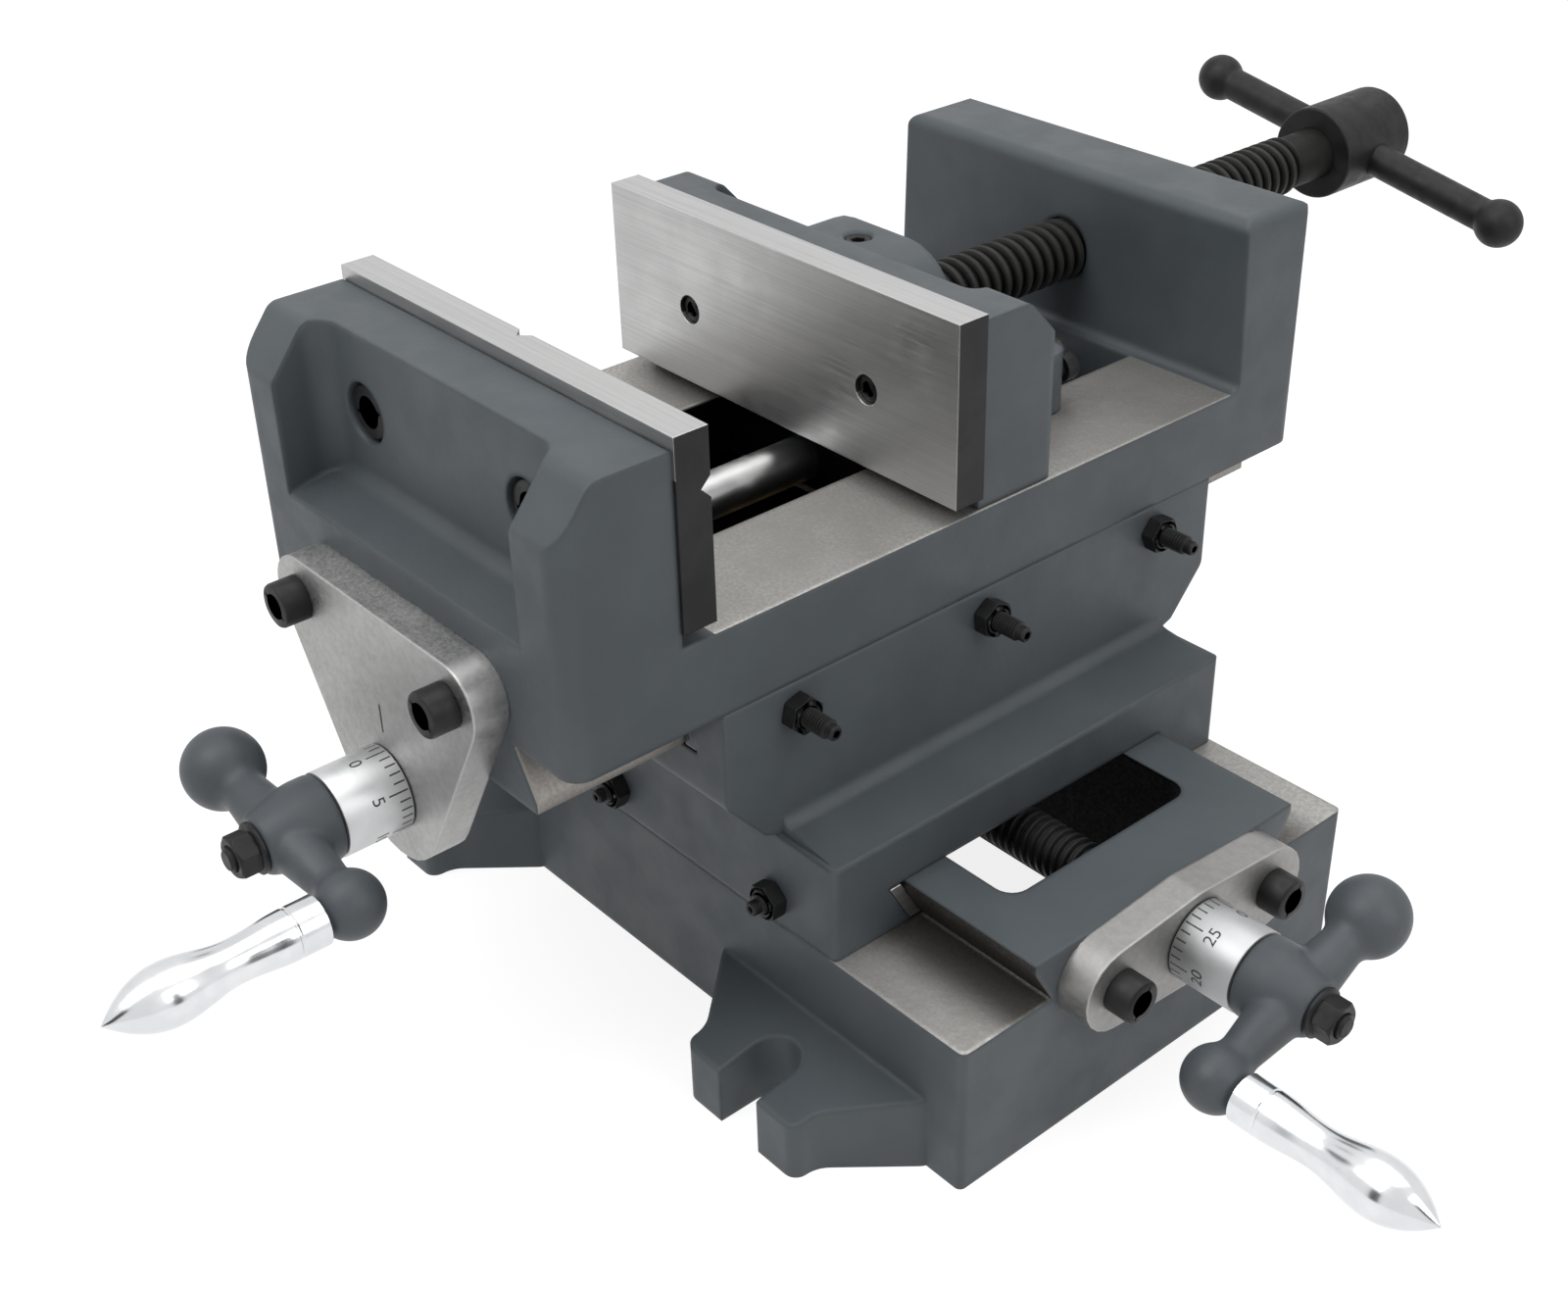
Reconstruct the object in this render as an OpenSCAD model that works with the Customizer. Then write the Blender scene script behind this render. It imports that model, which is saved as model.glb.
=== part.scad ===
// Cross slide vise: a machine vise on two dovetail slides that cross at a right angle.
// X runs along the jaws and the lower slide, Y along the clamping travel and the upper slide.
// The underside of the base is at z = 0. All sizes are in millimetres.

/* [Jaws] */
// Width of the jaw plates
jaw_w = 150; // [120:1:180]
// Height of the jaw plates
jaw_h = 54.5; // [40:0.5:70]
// Thickness of the jaw plates
jaw_t = 10.5; // [8:0.5:14]
// Distance between the gripping faces as drawn
jaw_open = 84; // [60:1:100]
// Height of the plates above the bed
jaw_lift = 4.3; // [2:0.1:8]
// Distance between the two screws of the fixed jaw plate
fixed_screw_span = 76; // [60:1:100]
// Height of those screws above the lower edge of the fixed plate
fixed_screw_up = 27.5; // [22:0.5:34]
// Distance between the two screws of the movable jaw plate
mov_screw_span = 78; // [60:1:100]
// Height of those screws above the lower edge of the movable plate
mov_screw_up = 24; // [18:0.5:34]
// Width of the grooves that hold round work
vee_w = 6; // [4:0.5:8]
// Distance the plates stand out past the casting at each end
jaw_proud = 1; // [0:0.5:3]

/* [Vise body] */
// Distance of the front face from the middle of the saddle
body_front = 144.5; // [135:0.5:155]
// Length of the bed from the fixed jaw to the rear block
bed_len = 216.5; // [200:0.5:240]
// Height of the rails from the slide to the bed
rail_h = 25.5; // [20:0.5:32]
// Depth of the side wings in front of the fixed jaw's wall
wing_d = 17.3; // [12:0.1:22]
// Thickness of the side wings
wing_t = 18; // [12:0.5:24]
// Thickness of the fixed jaw's wall
jaw_wall = 18.5; // [14:0.5:26]
// Height of the fixed jaw casting above the bed
fixed_h = 55; // [44:0.5:66]
// Height of the pocket's front lip above the bed
lip_h = 6.5; // [3:0.5:12]
// Height of the rear block above the bed
rear_h = 53; // [44:0.5:62]
// Thickness of the rear block
rear_t = 29.5; // [22:0.5:36]
// Width of the slot in the bed
slot_w = 67; // [56:0.5:74]
// Edge rounding of the castings
cast_r = 6; // [3:0.5:8]
// Rounding of the upright corners of the base and the saddle
corner_r = 2; // [1:0.5:6]

/* [Movable jaw] */
// Depth of the wings of the movable jaw
mov_d = 30.7; // [26:0.1:40]
// Height of the movable jaw casting above the bed
mov_h = 56; // [46:0.5:64]
// Thickness of the wall behind the plate
mov_wall = 13; // [10:0.5:18]
// Thickness of the side wings
mov_wing_t = 16; // [12:0.5:22]
// Width of the boss that holds the clamp screw
boss_w = 60; // [50:1:70]
// Height of the boss above the bed
boss_h = 53.5; // [46:0.5:60]
// Length of the boss from the plate seat
boss_l = 32; // [31:0.5:40]
// Length of the foot from the plate seat
foot_l = 66; // [56:0.5:72]
// Width of the foot
foot_w = 92; // [80:1:110]
// Height of the foot
foot_h = 19; // [14:0.5:24]

/* [Clamp screw] */
// Diameter of the clamp screw
clamp_d = 20; // [16:0.5:22]
// Height of the clamp screw above the bed
clamp_up = 25.7; // [23:0.1:30]
// Length of the clamp screw from the boss to the hub
clamp_l = 208; // [196:1:225]
// Diameter of the hub on the clamp screw
head_d = 32; // [26:0.5:38]
// Length of the hub
head_l = 36; // [30:0.5:44]
// Diameter of the sliding bar
bar_d = 11.5; // [8:0.5:12]
// Distance between the ball ends of the bar
bar_l = 125; // [100:1:160]
// Diameter of the ball ends
bar_ball_d = 16.5; // [14:0.5:20]
// Turn of the bar as drawn
bar_turn = 11; // [-90:1:90]
// Slide of the bar as drawn
bar_shift = 4.8; // [-30:0.1:30]

/* [Slides] */
// Width of the lower dovetail across its top
x_dt_w = 107; // [96:1:116]
// Height of the lower dovetail
x_dt_h = 15; // [12:0.5:18]
// Width of the shoulder beside the upper dovetail
y_shoulder = 18; // [16:0.5:24]
// Height of the upper dovetail
y_dt_h = 17.5; // [14:0.5:20]
// Slope of the dovetail flanks
dt_angle = 60; // [55:1:65]
// Height of the upright edge of a dovetail
dt_land = 3; // [2:0.5:4]
// Width of the gib strips
gib_w = 4; // [3:0.5:8]
// Distance between the gib screws
gib_pitch = 72; // [50:1:76]
// Running gap between sliding faces
way_gap = 0.15; // [0.1:0.05:0.4]

/* [Saddle] */
// Height of the saddle between the two slides
saddle_h = 78; // [72:0.5:86]
// Length of the saddle along the lower slide
saddle_l = 194; // [180:1:206]
// Length of the upper rails
rail_l = 194; // [180:1:206]
// Height of the saddle's lower block
block_h = 31; // [27:0.5:36]
// Height of the upright ends of the upper rails
rail_end_h = 30; // [24:0.5:34]
// Width of the channel for the upper screw
channel_w = 36; // [32:0.5:44]

/* [Base] */
// Length of the base
base_l = 294; // [280:1:310]
// Width of the base
base_w = 160; // [150:1:176]
// Height of the flat ways of the base
base_h = 49; // [40:0.5:56]
// Length of the opening in the base
open_l = 245; // [220:1:255]
// Width of the opening in the base
open_w = 75; // [64:0.5:80]
// Distance between the mounting slots along the base
ear_pitch = 181.5; // [160:0.5:200]
// Distance between the slot ends across the base
ear_span = 196; // [190:0.5:206]
// Width of the mounting slots
ear_slot_w = 16; // [12:0.5:18]
// Width of an ear at its tip
ear_w = 47; // [40:0.5:56]
// Reach of an ear from the base
ear_out = 31; // [26:0.5:40]
// Thickness of the ears at the tip
ear_t = 19; // [14:0.5:26]

/* [Lead screws] */
// Diameter of the lead screws
lead_d = 16; // [12:0.5:18]
// Height of the lower screw above the flat ways
x_axis_up = 2; // [0:0.5:4]
// Depth of the upper screw below the upper dovetail
y_axis_drop = 14.8; // [13:0.1:17]
// Thickness of the end plates
plate_t = 11; // [8:0.5:16]
// Diameter of the graduated dials
dial_d = 25; // [22:0.5:30]
// Length of the dials
dial_l = 20.2; // [16:0.1:26]

/* [Cranks] */
// Diameter of the crank hub
hub_d = 25; // [22:0.5:30]
// Length of the crank hub
hub_l = 20.5; // [18:0.5:30]
// Diameter of the crank hub at its nut
hub_end_d = 16.5; // [14:0.5:20]
// Distance of each ball from the crank's axis
crank_r = 32.5; // [28:0.5:40]
// Diameter of the counterweight ball
big_ball_d = 23.5; // [20:0.5:28]
// Diameter of the ball that carries the grip
small_ball_d = 19; // [16:0.5:22]
// Diameter of the grip's collar
grip_d = 14.2; // [12:0.2:16]
// Diameter of the grip's waist
grip_waist_d = 12; // [10:0.2:14]
// Diameter of the grip's swell
grip_swell_d = 17; // [14:0.2:20]
// Length of the grip
grip_l = 60; // [48:1:72]
// Turn of the lower crank as drawn
x_crank_turn = 108; // [0:1:359]
// Turn of the upper crank as drawn
y_crank_turn = 172; // [0:1:359]

/* [Fits] */
// Radial gap of turning shafts
run_gap = 0.05; // [0.02:0.01:0.09]
// Radial gap of fasteners and fixed pins
fit_gap = 0.05; // [0.02:0.01:0.09]
// Gap below the movable jaw and round its keel
jaw_gap = 0.3; // [0.2:0.05:0.5]

/* [Hidden] */
$fn = 48;
paint = [0.34, 0.37, 0.39];
steel = [0.78, 0.78, 0.76];
black = [0.12, 0.12, 0.13];
chrome = [0.88, 0.89, 0.9];
satin = [0.82, 0.83, 0.84];
bronze = [0.72, 0.55, 0.28];

// Widths that follow the jaws
body_w = jaw_w - 2 * jaw_proud;
y_dt_w = body_w - 2 * y_shoulder;

// Heights of the stack
dt_run = 1 / tan(dt_angle);
x_dt_top = base_h + x_dt_h;
x_dt_half = x_dt_w / 2;
x_dt_root = x_dt_half - (x_dt_h - dt_land) * dt_run;
saddle_z = base_h + way_gap;
saddle_top = saddle_z + saddle_h;
body_z = saddle_top + way_gap;
bed_z = body_z + rail_h;
y_dt_z = body_z - y_dt_h;
y_dt_half = y_dt_w / 2;
y_dt_root = y_dt_half - (y_dt_h - dt_land) * dt_run;
x_axis_z = base_h + x_axis_up;
y_axis_z = y_dt_z - y_axis_drop;
clamp_z = bed_z + clamp_up;
plate_z = bed_z + jaw_lift;
fixed_screw_z = plate_z + fixed_screw_up;
mov_screw_z = plate_z + mov_screw_up;
fixed_top = bed_z + fixed_h;
rear_top = bed_z + rear_h;

// Places along the clamping travel
wall_y = wing_d - body_front;
seat_y = wall_y + jaw_wall;
grip_y = seat_y + jaw_t;
rear_y = seat_y + bed_len;
body_rear = rear_y + rear_t;
mov_grip_y = grip_y + jaw_open;
mov_y = mov_grip_y + jaw_t;
mov_back = mov_y + mov_d;
boss_y = mov_y + boss_l;
foot_y = mov_y + foot_l;
head_y = boss_y + clamp_l;
bar_y = head_y + head_l / 2;

// Fasteners: shank radius, head radius and head length
m10_r = 5;
m10_head_r = 8;
m10_head_l = 10;
m8_r = 4;
m8_head_r = 6.5;
m8_head_l = 8;
m6_r = 3;
m6_head_r = 5;
m6_head_l = 6;
m5_r = 2.5;
m5_head_r = 4.25;
m5_head_l = 5;
gib_screw_r = 3;
gib_nut_r = 5.8;
gib_nut_l = 5;

// Guide rod under the movable jaw and the keeper that holds the jaw down
rod_r = 7;
rod_down = 10.3;
rod_z = bed_z - rod_down;
rod_seat = 14;
slot_end = 3.5;
slot_y0 = seat_y + slot_end;
slot_y1 = rear_y - slot_end;
keeper_t = 5.4;
keeper_side = 9.5;
keeper_top = rod_z - rod_r - 2.3;
keeper_z = keeper_top - keeper_t;
mov_z = bed_z + jaw_gap;
keel_half = slot_w / 2 - 0.5;

// Lead screw ends: the journal in the plate, the collar behind it and the seat of dial and crank
journal_r = 6;
collar_r = 10;
collar_l = 6;
seat_r = 5;
stud_r = 3.5;
stud_l = 9;
end_gap = 0.3;
x_face = base_l / 2;
dial_0 = plate_t + end_gap;
hub_0 = dial_0 + dial_l + 0.2;
ball_up = 12.2;
arm_r = 8.5;
big_neck_r = 6.5;
small_neck_r = 5.8;
neck_fillet = 6;
grip_flat = 1;
collar_part = 0.15;
waist_part = 0.4;
swell_part = 0.7;
pivot_part = 0.55;
nut_l = 7.5;
nut_r = 6.5;
nut_flange_r = 7.5;
nut_flange_l = 1.5;
plate_corner_r = 12;
plate_foot_r = 22.6;
plate_screw_x = 36.5;
plate_screw_up = 11.9;
plate_screw_in = 16;
x_plate_half = 32;
x_plate_end_r = 13;
x_plate_mid_r = 15.5;
x_tail_r = 6;
x_tail_in = 4;

// Dovetail cavities of the saddle
side_gap = way_gap / sin(dt_angle);
gib_room = gib_w + 2 * side_gap;

// Gib screws and the two lead screw nuts
x_gib_z = base_h + x_dt_h * 0.6;
y_gib_z = body_z - y_dt_h * 0.52;
x_gib_out = 9;
y_gib_out = 16;
x_nut_screw_x = 25;
x_nut_screw_y = 15;
x_nut_rim = 8;
x_nut_inset = 16;
x_nut_l = 36;
x_nut_tap = 8;
y_nut_screw_x = channel_w / 2 - 6;
y_nut_screw_y = 27;
y_nut_l = 40;
y_nut_tap = 9;
nut_flange = 7;

// Rear block and the boss, nose and foot of the movable jaw
rear_round = 4;
rear_taper = 2;
boss_round = 18;
screw_room = 1.5;
mov_seat = mov_grip_y + m5_head_l + 1;
nose_r = clamp_d / 2 - 2;
nose_l = 16;
groove_w = 5;
groove_in = 9.5;
groove_y = boss_y - groove_in;
groove_r = nose_r - 1.8;
foot_screw_x = foot_w / 2 - 4.6;
foot_screw_z = mov_z + foot_h * 0.58;
keeper_screw_x = 20;
keeper_screw_end = 16;
keeper_screw_y = [mov_y + keeper_screw_end, foot_y - keeper_screw_end];
keeper_screw_in = 13;
mov_screw_in = 10;
foot_screw_in = 11;
set_screw_room = 0.8;
set_screw_tip_r = groove_w / 2 - 0.5;
bore_edge = 1;
ear_root = 20;
ear_nose = 8;
neck_l = 14;
neck_r = clamp_d / 2 - 1;

function corner(a, b, c, r, n) =
    r <= 0 ? [b] :
    let (u = (a - b) / norm(a - b))
    let (v = (c - b) / norm(c - b))
    let (half = acos(u * v) / 2)
    let (m = b + (u + v) / norm(u + v) * r / sin(half))
    let (s = b + u * r / tan(half) - m)
    let (e = b + v * r / tan(half) - m)
    let (a0 = atan2(s[1], s[0]))
    let (turn = (atan2(e[1], e[0]) - a0 + 540) % 360 - 180)
    [for (i = [0 : n]) m + r * [cos(a0 + turn * i / n), sin(a0 + turn * i / n)]];

// Outline through points [x, y, radius] with every corner rounded
function rounded(p, n = 6) = [
    for (i = [0 : len(p) - 1])
        let (a = p[(i + len(p) - 1) % len(p)])
        let (b = p[i])
        let (c = p[(i + 1) % len(p)])
        for (q = corner([a[0], a[1]], [b[0], b[1]], [c[0], c[1]], b[2], n)) q
];

function tangent_turn(a, b) =
    let (d = [b[0] - a[0], b[1] - a[1]])
    atan2(d[1], d[0]) - acos((a[2] - b[2]) / norm(d));

// Outline of a band round circles [x, y, radius], listed anticlockwise
function band(c, n = 10) = [
    for (i = [0 : len(c) - 1])
        let (k = c[i])
        let (a0 = tangent_turn(c[(i + len(c) - 1) % len(c)], k))
        let (a1 = tangent_turn(k, c[(i + 1) % len(c)]))
        let (turn = (a1 - a0 + 720) % 360)
        for (j = [0 : n]) [k[0], k[1]] + k[2] * [cos(a0 + turn * j / n), sin(a0 + turn * j / n)]
];

function box_path(x0, x1, y0, y1, r) = rounded([[x0, y0, r], [x1, y0, r], [x1, y1, r], [x0, y1, r]]);

// Profile in Y and Z, drawn along X
module along_x(x0, x1) {
    translate([x0, 0, 0])
        rotate([90, 0, 90])
            linear_extrude(x1 - x0)
                children();
}

// Profile in X and Z, drawn along Y
module along_y(y0, y1) {
    translate([0, y1, 0])
        rotate([90, 0, 0])
            linear_extrude(y1 - y0)
                children();
}

// Profile in X and Y, drawn along Z
module along_z(z0, z1) {
    translate([0, 0, z0])
        linear_extrude(z1 - z0)
            children();
}

module rod_x(r, x0, x1, y, z) {
    translate([x0, y, z])
        rotate([0, 90, 0])
            cylinder(r = r, h = x1 - x0);
}

module rod_y(r, y0, y1, x, z) {
    translate([x, y1, z])
        rotate([90, 0, 0])
            cylinder(r = r, h = y1 - y0);
}

module rod_z(r, z0, z1, x, y) {
    translate([x, y, z0])
        cylinder(r = r, h = z1 - z0);
}

// Socket head cap screw along +Z from its seat at z = 0, shank below the seat
module cap_screw(r, head_r, head_l, l) {
    difference() {
        union() {
            translate([0, 0, -l])
                cylinder(r = r, h = l + 0.5);
            cylinder(r = head_r, h = head_l - 0.6);
            translate([0, 0, head_l - 0.6])
                cylinder(r1 = head_r, r2 = head_r - 0.6, h = 0.6);
        }
        translate([0, 0, head_l * 0.45])
            cylinder(r = r * 0.92, h = head_l, $fn = 6);
    }
}

// Base with the lower dovetail
module dovetail_up(half, root, z0, h, land) {
    polygon([[-root, z0 - 1], [-root, z0], [-half, z0 + h - land], [-half, z0 + h],
             [half, z0 + h], [half, z0 + h - land], [root, z0], [root, z0 - 1]]);
}

module ear() {
    tip = base_w / 2 + ear_out;
    root = ear_w / 2 + ear_root;
    slot_y = ear_span / 2;
    difference() {
        intersection() {
            along_z(0, base_h)
                polygon(rounded([[-root, base_w / 2 - 3, 0], [root, base_w / 2 - 3, 0],
                                 [root, base_w / 2, 6], [ear_w / 2, tip - ear_nose, 10],
                                 [ear_w / 2, tip, 4], [-ear_w / 2, tip, 4],
                                 [-ear_w / 2, tip - ear_nose, 10], [-root, base_w / 2, 6]]));
            along_x(-ear_w, ear_w)
                polygon(rounded([[base_w / 2 - 5, 0, 0], [tip + 1, 0, 0], [tip + 1, ear_t, 3],
                                 [base_w / 2, ear_t + 5, 4], [base_w / 2 - 5, ear_t + 9, 0]]));
        }
        rod_z(ear_slot_w / 2, -1, base_h, 0, slot_y);
        translate([-ear_slot_w / 2, slot_y, -1])
            cube([ear_slot_w, ear_out, base_h + 2]);
    }
}

module base() {
    hollow_y = (base_w + open_w) / 4;
    color(paint) difference() {
        union() {
            along_z(0, base_h)
                polygon(box_path(-base_l / 2, base_l / 2, -base_w / 2, base_w / 2, corner_r));
            along_x(-base_l / 2, base_l / 2)
                dovetail_up(x_dt_half, x_dt_root, base_h, x_dt_h, dt_land);
            for (x = [-1, 1], y = [0, 1])
                translate([x * ear_pitch / 2, 0, 0])
                    mirror([0, y, 0])
                        ear();
        }
        along_z(-1, x_dt_top + 1)
            polygon(box_path(-open_l / 2, open_l / 2, -open_w / 2, open_w / 2, cast_r));
        // Pockets cast in the underside, beside the opening
        for (x = [-1, 1], y = [-1, 1])
            translate([x * open_l / 4, y * hollow_y, 0])
                along_z(-1, base_h - 14)
                    polygon(box_path(-open_l / 4 + 6, open_l / 4 - 6, -9, 9, cast_r));
        // Bearings of the lower screw
        rod_x(collar_r + 0.6, x_face - collar_l - end_gap, x_face + 1, 0, x_axis_z);
        rod_x(lead_d / 2 + 1, open_l / 2 - 1, x_face, 0, x_axis_z);
        rod_x(x_tail_r + run_gap, -base_l / 2 - 1, -open_l / 2 + 1, 0, x_axis_z);
        for (y = [-1, 1])
            rod_x(m8_r + fit_gap, x_face - plate_screw_in - 2, x_face + 1, y * x_plate_half, x_axis_z);
    }
}

// End plate of the lower screw
module x_end_plate() {
    color(steel) difference() {
        along_x(x_face, x_face + plate_t)
            translate([0, x_axis_z])
                polygon(band([[x_plate_half, 0, x_plate_end_r], [0, x_plate_mid_r - 15, 15],
                              [-x_plate_half, 0, x_plate_end_r], [0, 15 - x_plate_mid_r, 15]]));
        rod_x(journal_r + run_gap, x_face - 1, x_face + plate_t + 1, 0, x_axis_z);
        for (y = [-1, 1])
            rod_x(m8_r + fit_gap, x_face - 1, x_face + plate_t + 1, y * x_plate_half, x_axis_z);
    }
}

module x_end_screws() {
    color(black)
        for (y = [-1, 1])
            translate([x_face + plate_t, y * x_plate_half, x_axis_z])
                rotate([0, 90, 0])
                    cap_screw(m8_r, m8_head_r, m8_head_l, plate_t + plate_screw_in);
}

// Lead screw along +Z: collar and thread below z = 0, journal, dial seat, crank seat and stud above
module lead_screw(l) {
    translate([0, 0, -l])
        cylinder(r = lead_d / 2, h = l - collar_l - end_gap + 0.5);
    translate([0, 0, -collar_l - end_gap / 2])
        cylinder(r = collar_r, h = collar_l);
    translate([0, 0, -1])
        cylinder(r = journal_r, h = dial_0 + 0.8);
    cylinder(r = seat_r, h = hub_0 + hub_l);
    cylinder(r = stud_r, h = hub_0 + hub_l + stud_l);
}

module dial() {
    difference() {
        union() {
            translate([0, 0, dial_0])
                cylinder(r1 = dial_d / 2 - 0.6, r2 = dial_d / 2, h = 0.6);
            translate([0, 0, dial_0 + 0.6])
                cylinder(r = dial_d / 2, h = dial_l - 0.6);
        }
        translate([0, 0, dial_0 - 1])
            cylinder(r = seat_r + fit_gap, h = dial_l + 2);
    }
}

// Profile of an arm about its own axis: tapered root, fillet and ball at distance s
function arm_path(ball_r, s, neck_r, n = 7) =
    let (c = s - sqrt(pow(ball_r + neck_fillet, 2) - pow(neck_r + neck_fillet, 2)))
    let (turn = -atan2(s - c, neck_r + neck_fillet))
    let (sweep = 90 - turn)
    concat(
        [[0, 0], [arm_r, 0]],
        [for (i = [0 : n])
            let (a = turn * i / n)
            [neck_r + neck_fillet, c] - neck_fillet * [cos(a), sin(a)]],
        [for (i = [1 : 2 * n - 1])
            let (a = turn + sweep * i / (2 * n))
            [0, s] + ball_r * [cos(a), sin(a)]],
        [[0, s + ball_r]]);

// Ball crank: hub on the screw, a counterweight ball and the ball that carries the grip
module crank() {
    mid = hub_0 + ball_up;
    flat = small_ball_d / 2 - grip_flat;
    difference() {
        union() {
            translate([0, 0, hub_0])
                rotate_extrude()
                    polygon(rounded([[0, 0, 0], [hub_d / 2, 0, 0.6], [hub_d / 2, hub_l * 0.36, 6],
                                     [hub_end_d / 2, hub_l, 1.5], [0, hub_l, 0]]));
            translate([0, 0, mid])
                rotate([0, 90, 0])
                    rotate_extrude()
                        polygon(arm_path(big_ball_d / 2, crank_r, big_neck_r));
            translate([0, 0, mid])
                rotate([0, -90, 0])
                    rotate_extrude()
                        polygon(arm_path(small_ball_d / 2, crank_r, small_neck_r));
        }
        translate([0, 0, hub_0 - 1])
            cylinder(r = seat_r + fit_gap, h = hub_l + 2);
        // Flat seat and tapped hole for the grip's pivot
        translate([-crank_r, 0, mid + flat])
            cylinder(r = small_ball_d / 2, h = 10);
        translate([-crank_r, 0, mid - 2])
            cylinder(r = stud_r + fit_gap, h = 20);
    }
}

module crank_nut() {
    translate([0, 0, hub_0 + hub_l])
        difference() {
            union() {
                cylinder(r = nut_r, h = nut_l, $fn = 6);
                cylinder(r = nut_flange_r, h = nut_flange_l);
            }
            translate([0, 0, -1])
                cylinder(r = stud_r + fit_gap, h = nut_l + 2);
        }
}

// Pivot on which the grip turns, with its head sunk in the grip's end
module grip_pivot() {
    mid = hub_0 + ball_up;
    z0 = mid + small_ball_d / 2 - grip_flat + end_gap;
    translate([-crank_r, 0, mid - 1.5])
        cylinder(r = stud_r, h = z0 - mid + grip_l * pivot_part);
}

// Handle turned to a collar, a waist, a swell and a point
function grip_blend(r0, r1, t0, t1, n) =
    [for (i = [1 : n])
        let (t = i / n)
        [r0 + (r1 - r0) * (1 - cos(180 * t)) / 2, grip_l * (t0 + (t1 - t0) * t)]];

module grip() {
    z0 = hub_0 + ball_up + small_ball_d / 2 - grip_flat + end_gap;
    r = grip_d / 2;
    waist = grip_waist_d / 2;
    swell = grip_swell_d / 2;
    translate([-crank_r, 0, z0])
        difference() {
            rotate_extrude()
                polygon(concat([[0, 0], [r - 0.5, 0], [r, 0.5], [r, grip_l * collar_part]],
                    grip_blend(r, waist, collar_part, waist_part, 5),
                    grip_blend(waist, swell, waist_part, swell_part, 7),
                    [for (i = [1 : 6])
                        let (t = i / 7)
                        [swell * (1 - t * t), grip_l * (swell_part + (1 - swell_part) * t)]],
                    [[0, grip_l]]));
            translate([0, 0, -1])
                cylinder(r = stud_r + run_gap, h = grip_l * pivot_part + 2);
        }
}

module at_x_crank() {
    translate([x_face, 0, x_axis_z])
        rotate([0, 90, 0])
            rotate([0, 0, x_crank_turn])
                children();
}

module at_y_crank() {
    translate([0, -body_front, y_axis_z])
        rotate([90, 0, 0])
            rotate([0, 0, y_crank_turn])
                children();
}

module x_screw() {
    thread_l = x_face + open_l / 2 - 2;
    tail = base_l - x_tail_in;
    color(black) at_x_crank() {
        lead_screw(thread_l);
        translate([0, 0, -tail])
            cylinder(r = x_tail_r, h = tail - thread_l + x_tail_r);
    }
}

module x_dial() {
    color(satin) at_x_crank() dial();
}

module x_crank() {
    color(paint) at_x_crank() crank();
}

module x_crank_nut() {
    color(black) at_x_crank() crank_nut();
}

module x_grip_pivot() {
    color(steel) at_x_crank() grip_pivot();
}

module x_grip() {
    color(chrome) at_x_crank() grip();
}

// Saddle: dovetail cavity along X below and along Y above, with the channel of the upper screw
module x_cavity() {
    half = x_dt_half + side_gap;
    root = x_dt_root + side_gap;
    top = x_dt_top + way_gap;
    land = top - dt_land;
    polygon([[-root - gib_room, saddle_z - 1], [-root - gib_room, base_h],
             [-root - gib_room - (top - base_h) * dt_run, top], [half, top], [half, land],
             [root, base_h], [root, saddle_z - 1]]);
}

module y_cavity() {
    half = y_dt_half + side_gap;
    root = y_dt_root + side_gap;
    low = y_dt_z - way_gap;
    land = low + dt_land;
    polygon([[-root, saddle_top + 1], [-root, body_z], [-half, land], [-half, low],
             [root + gib_room + (body_z - low) * dt_run, low], [root + gib_room, body_z],
             [root + gib_room, saddle_top + 1]]);
}

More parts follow.
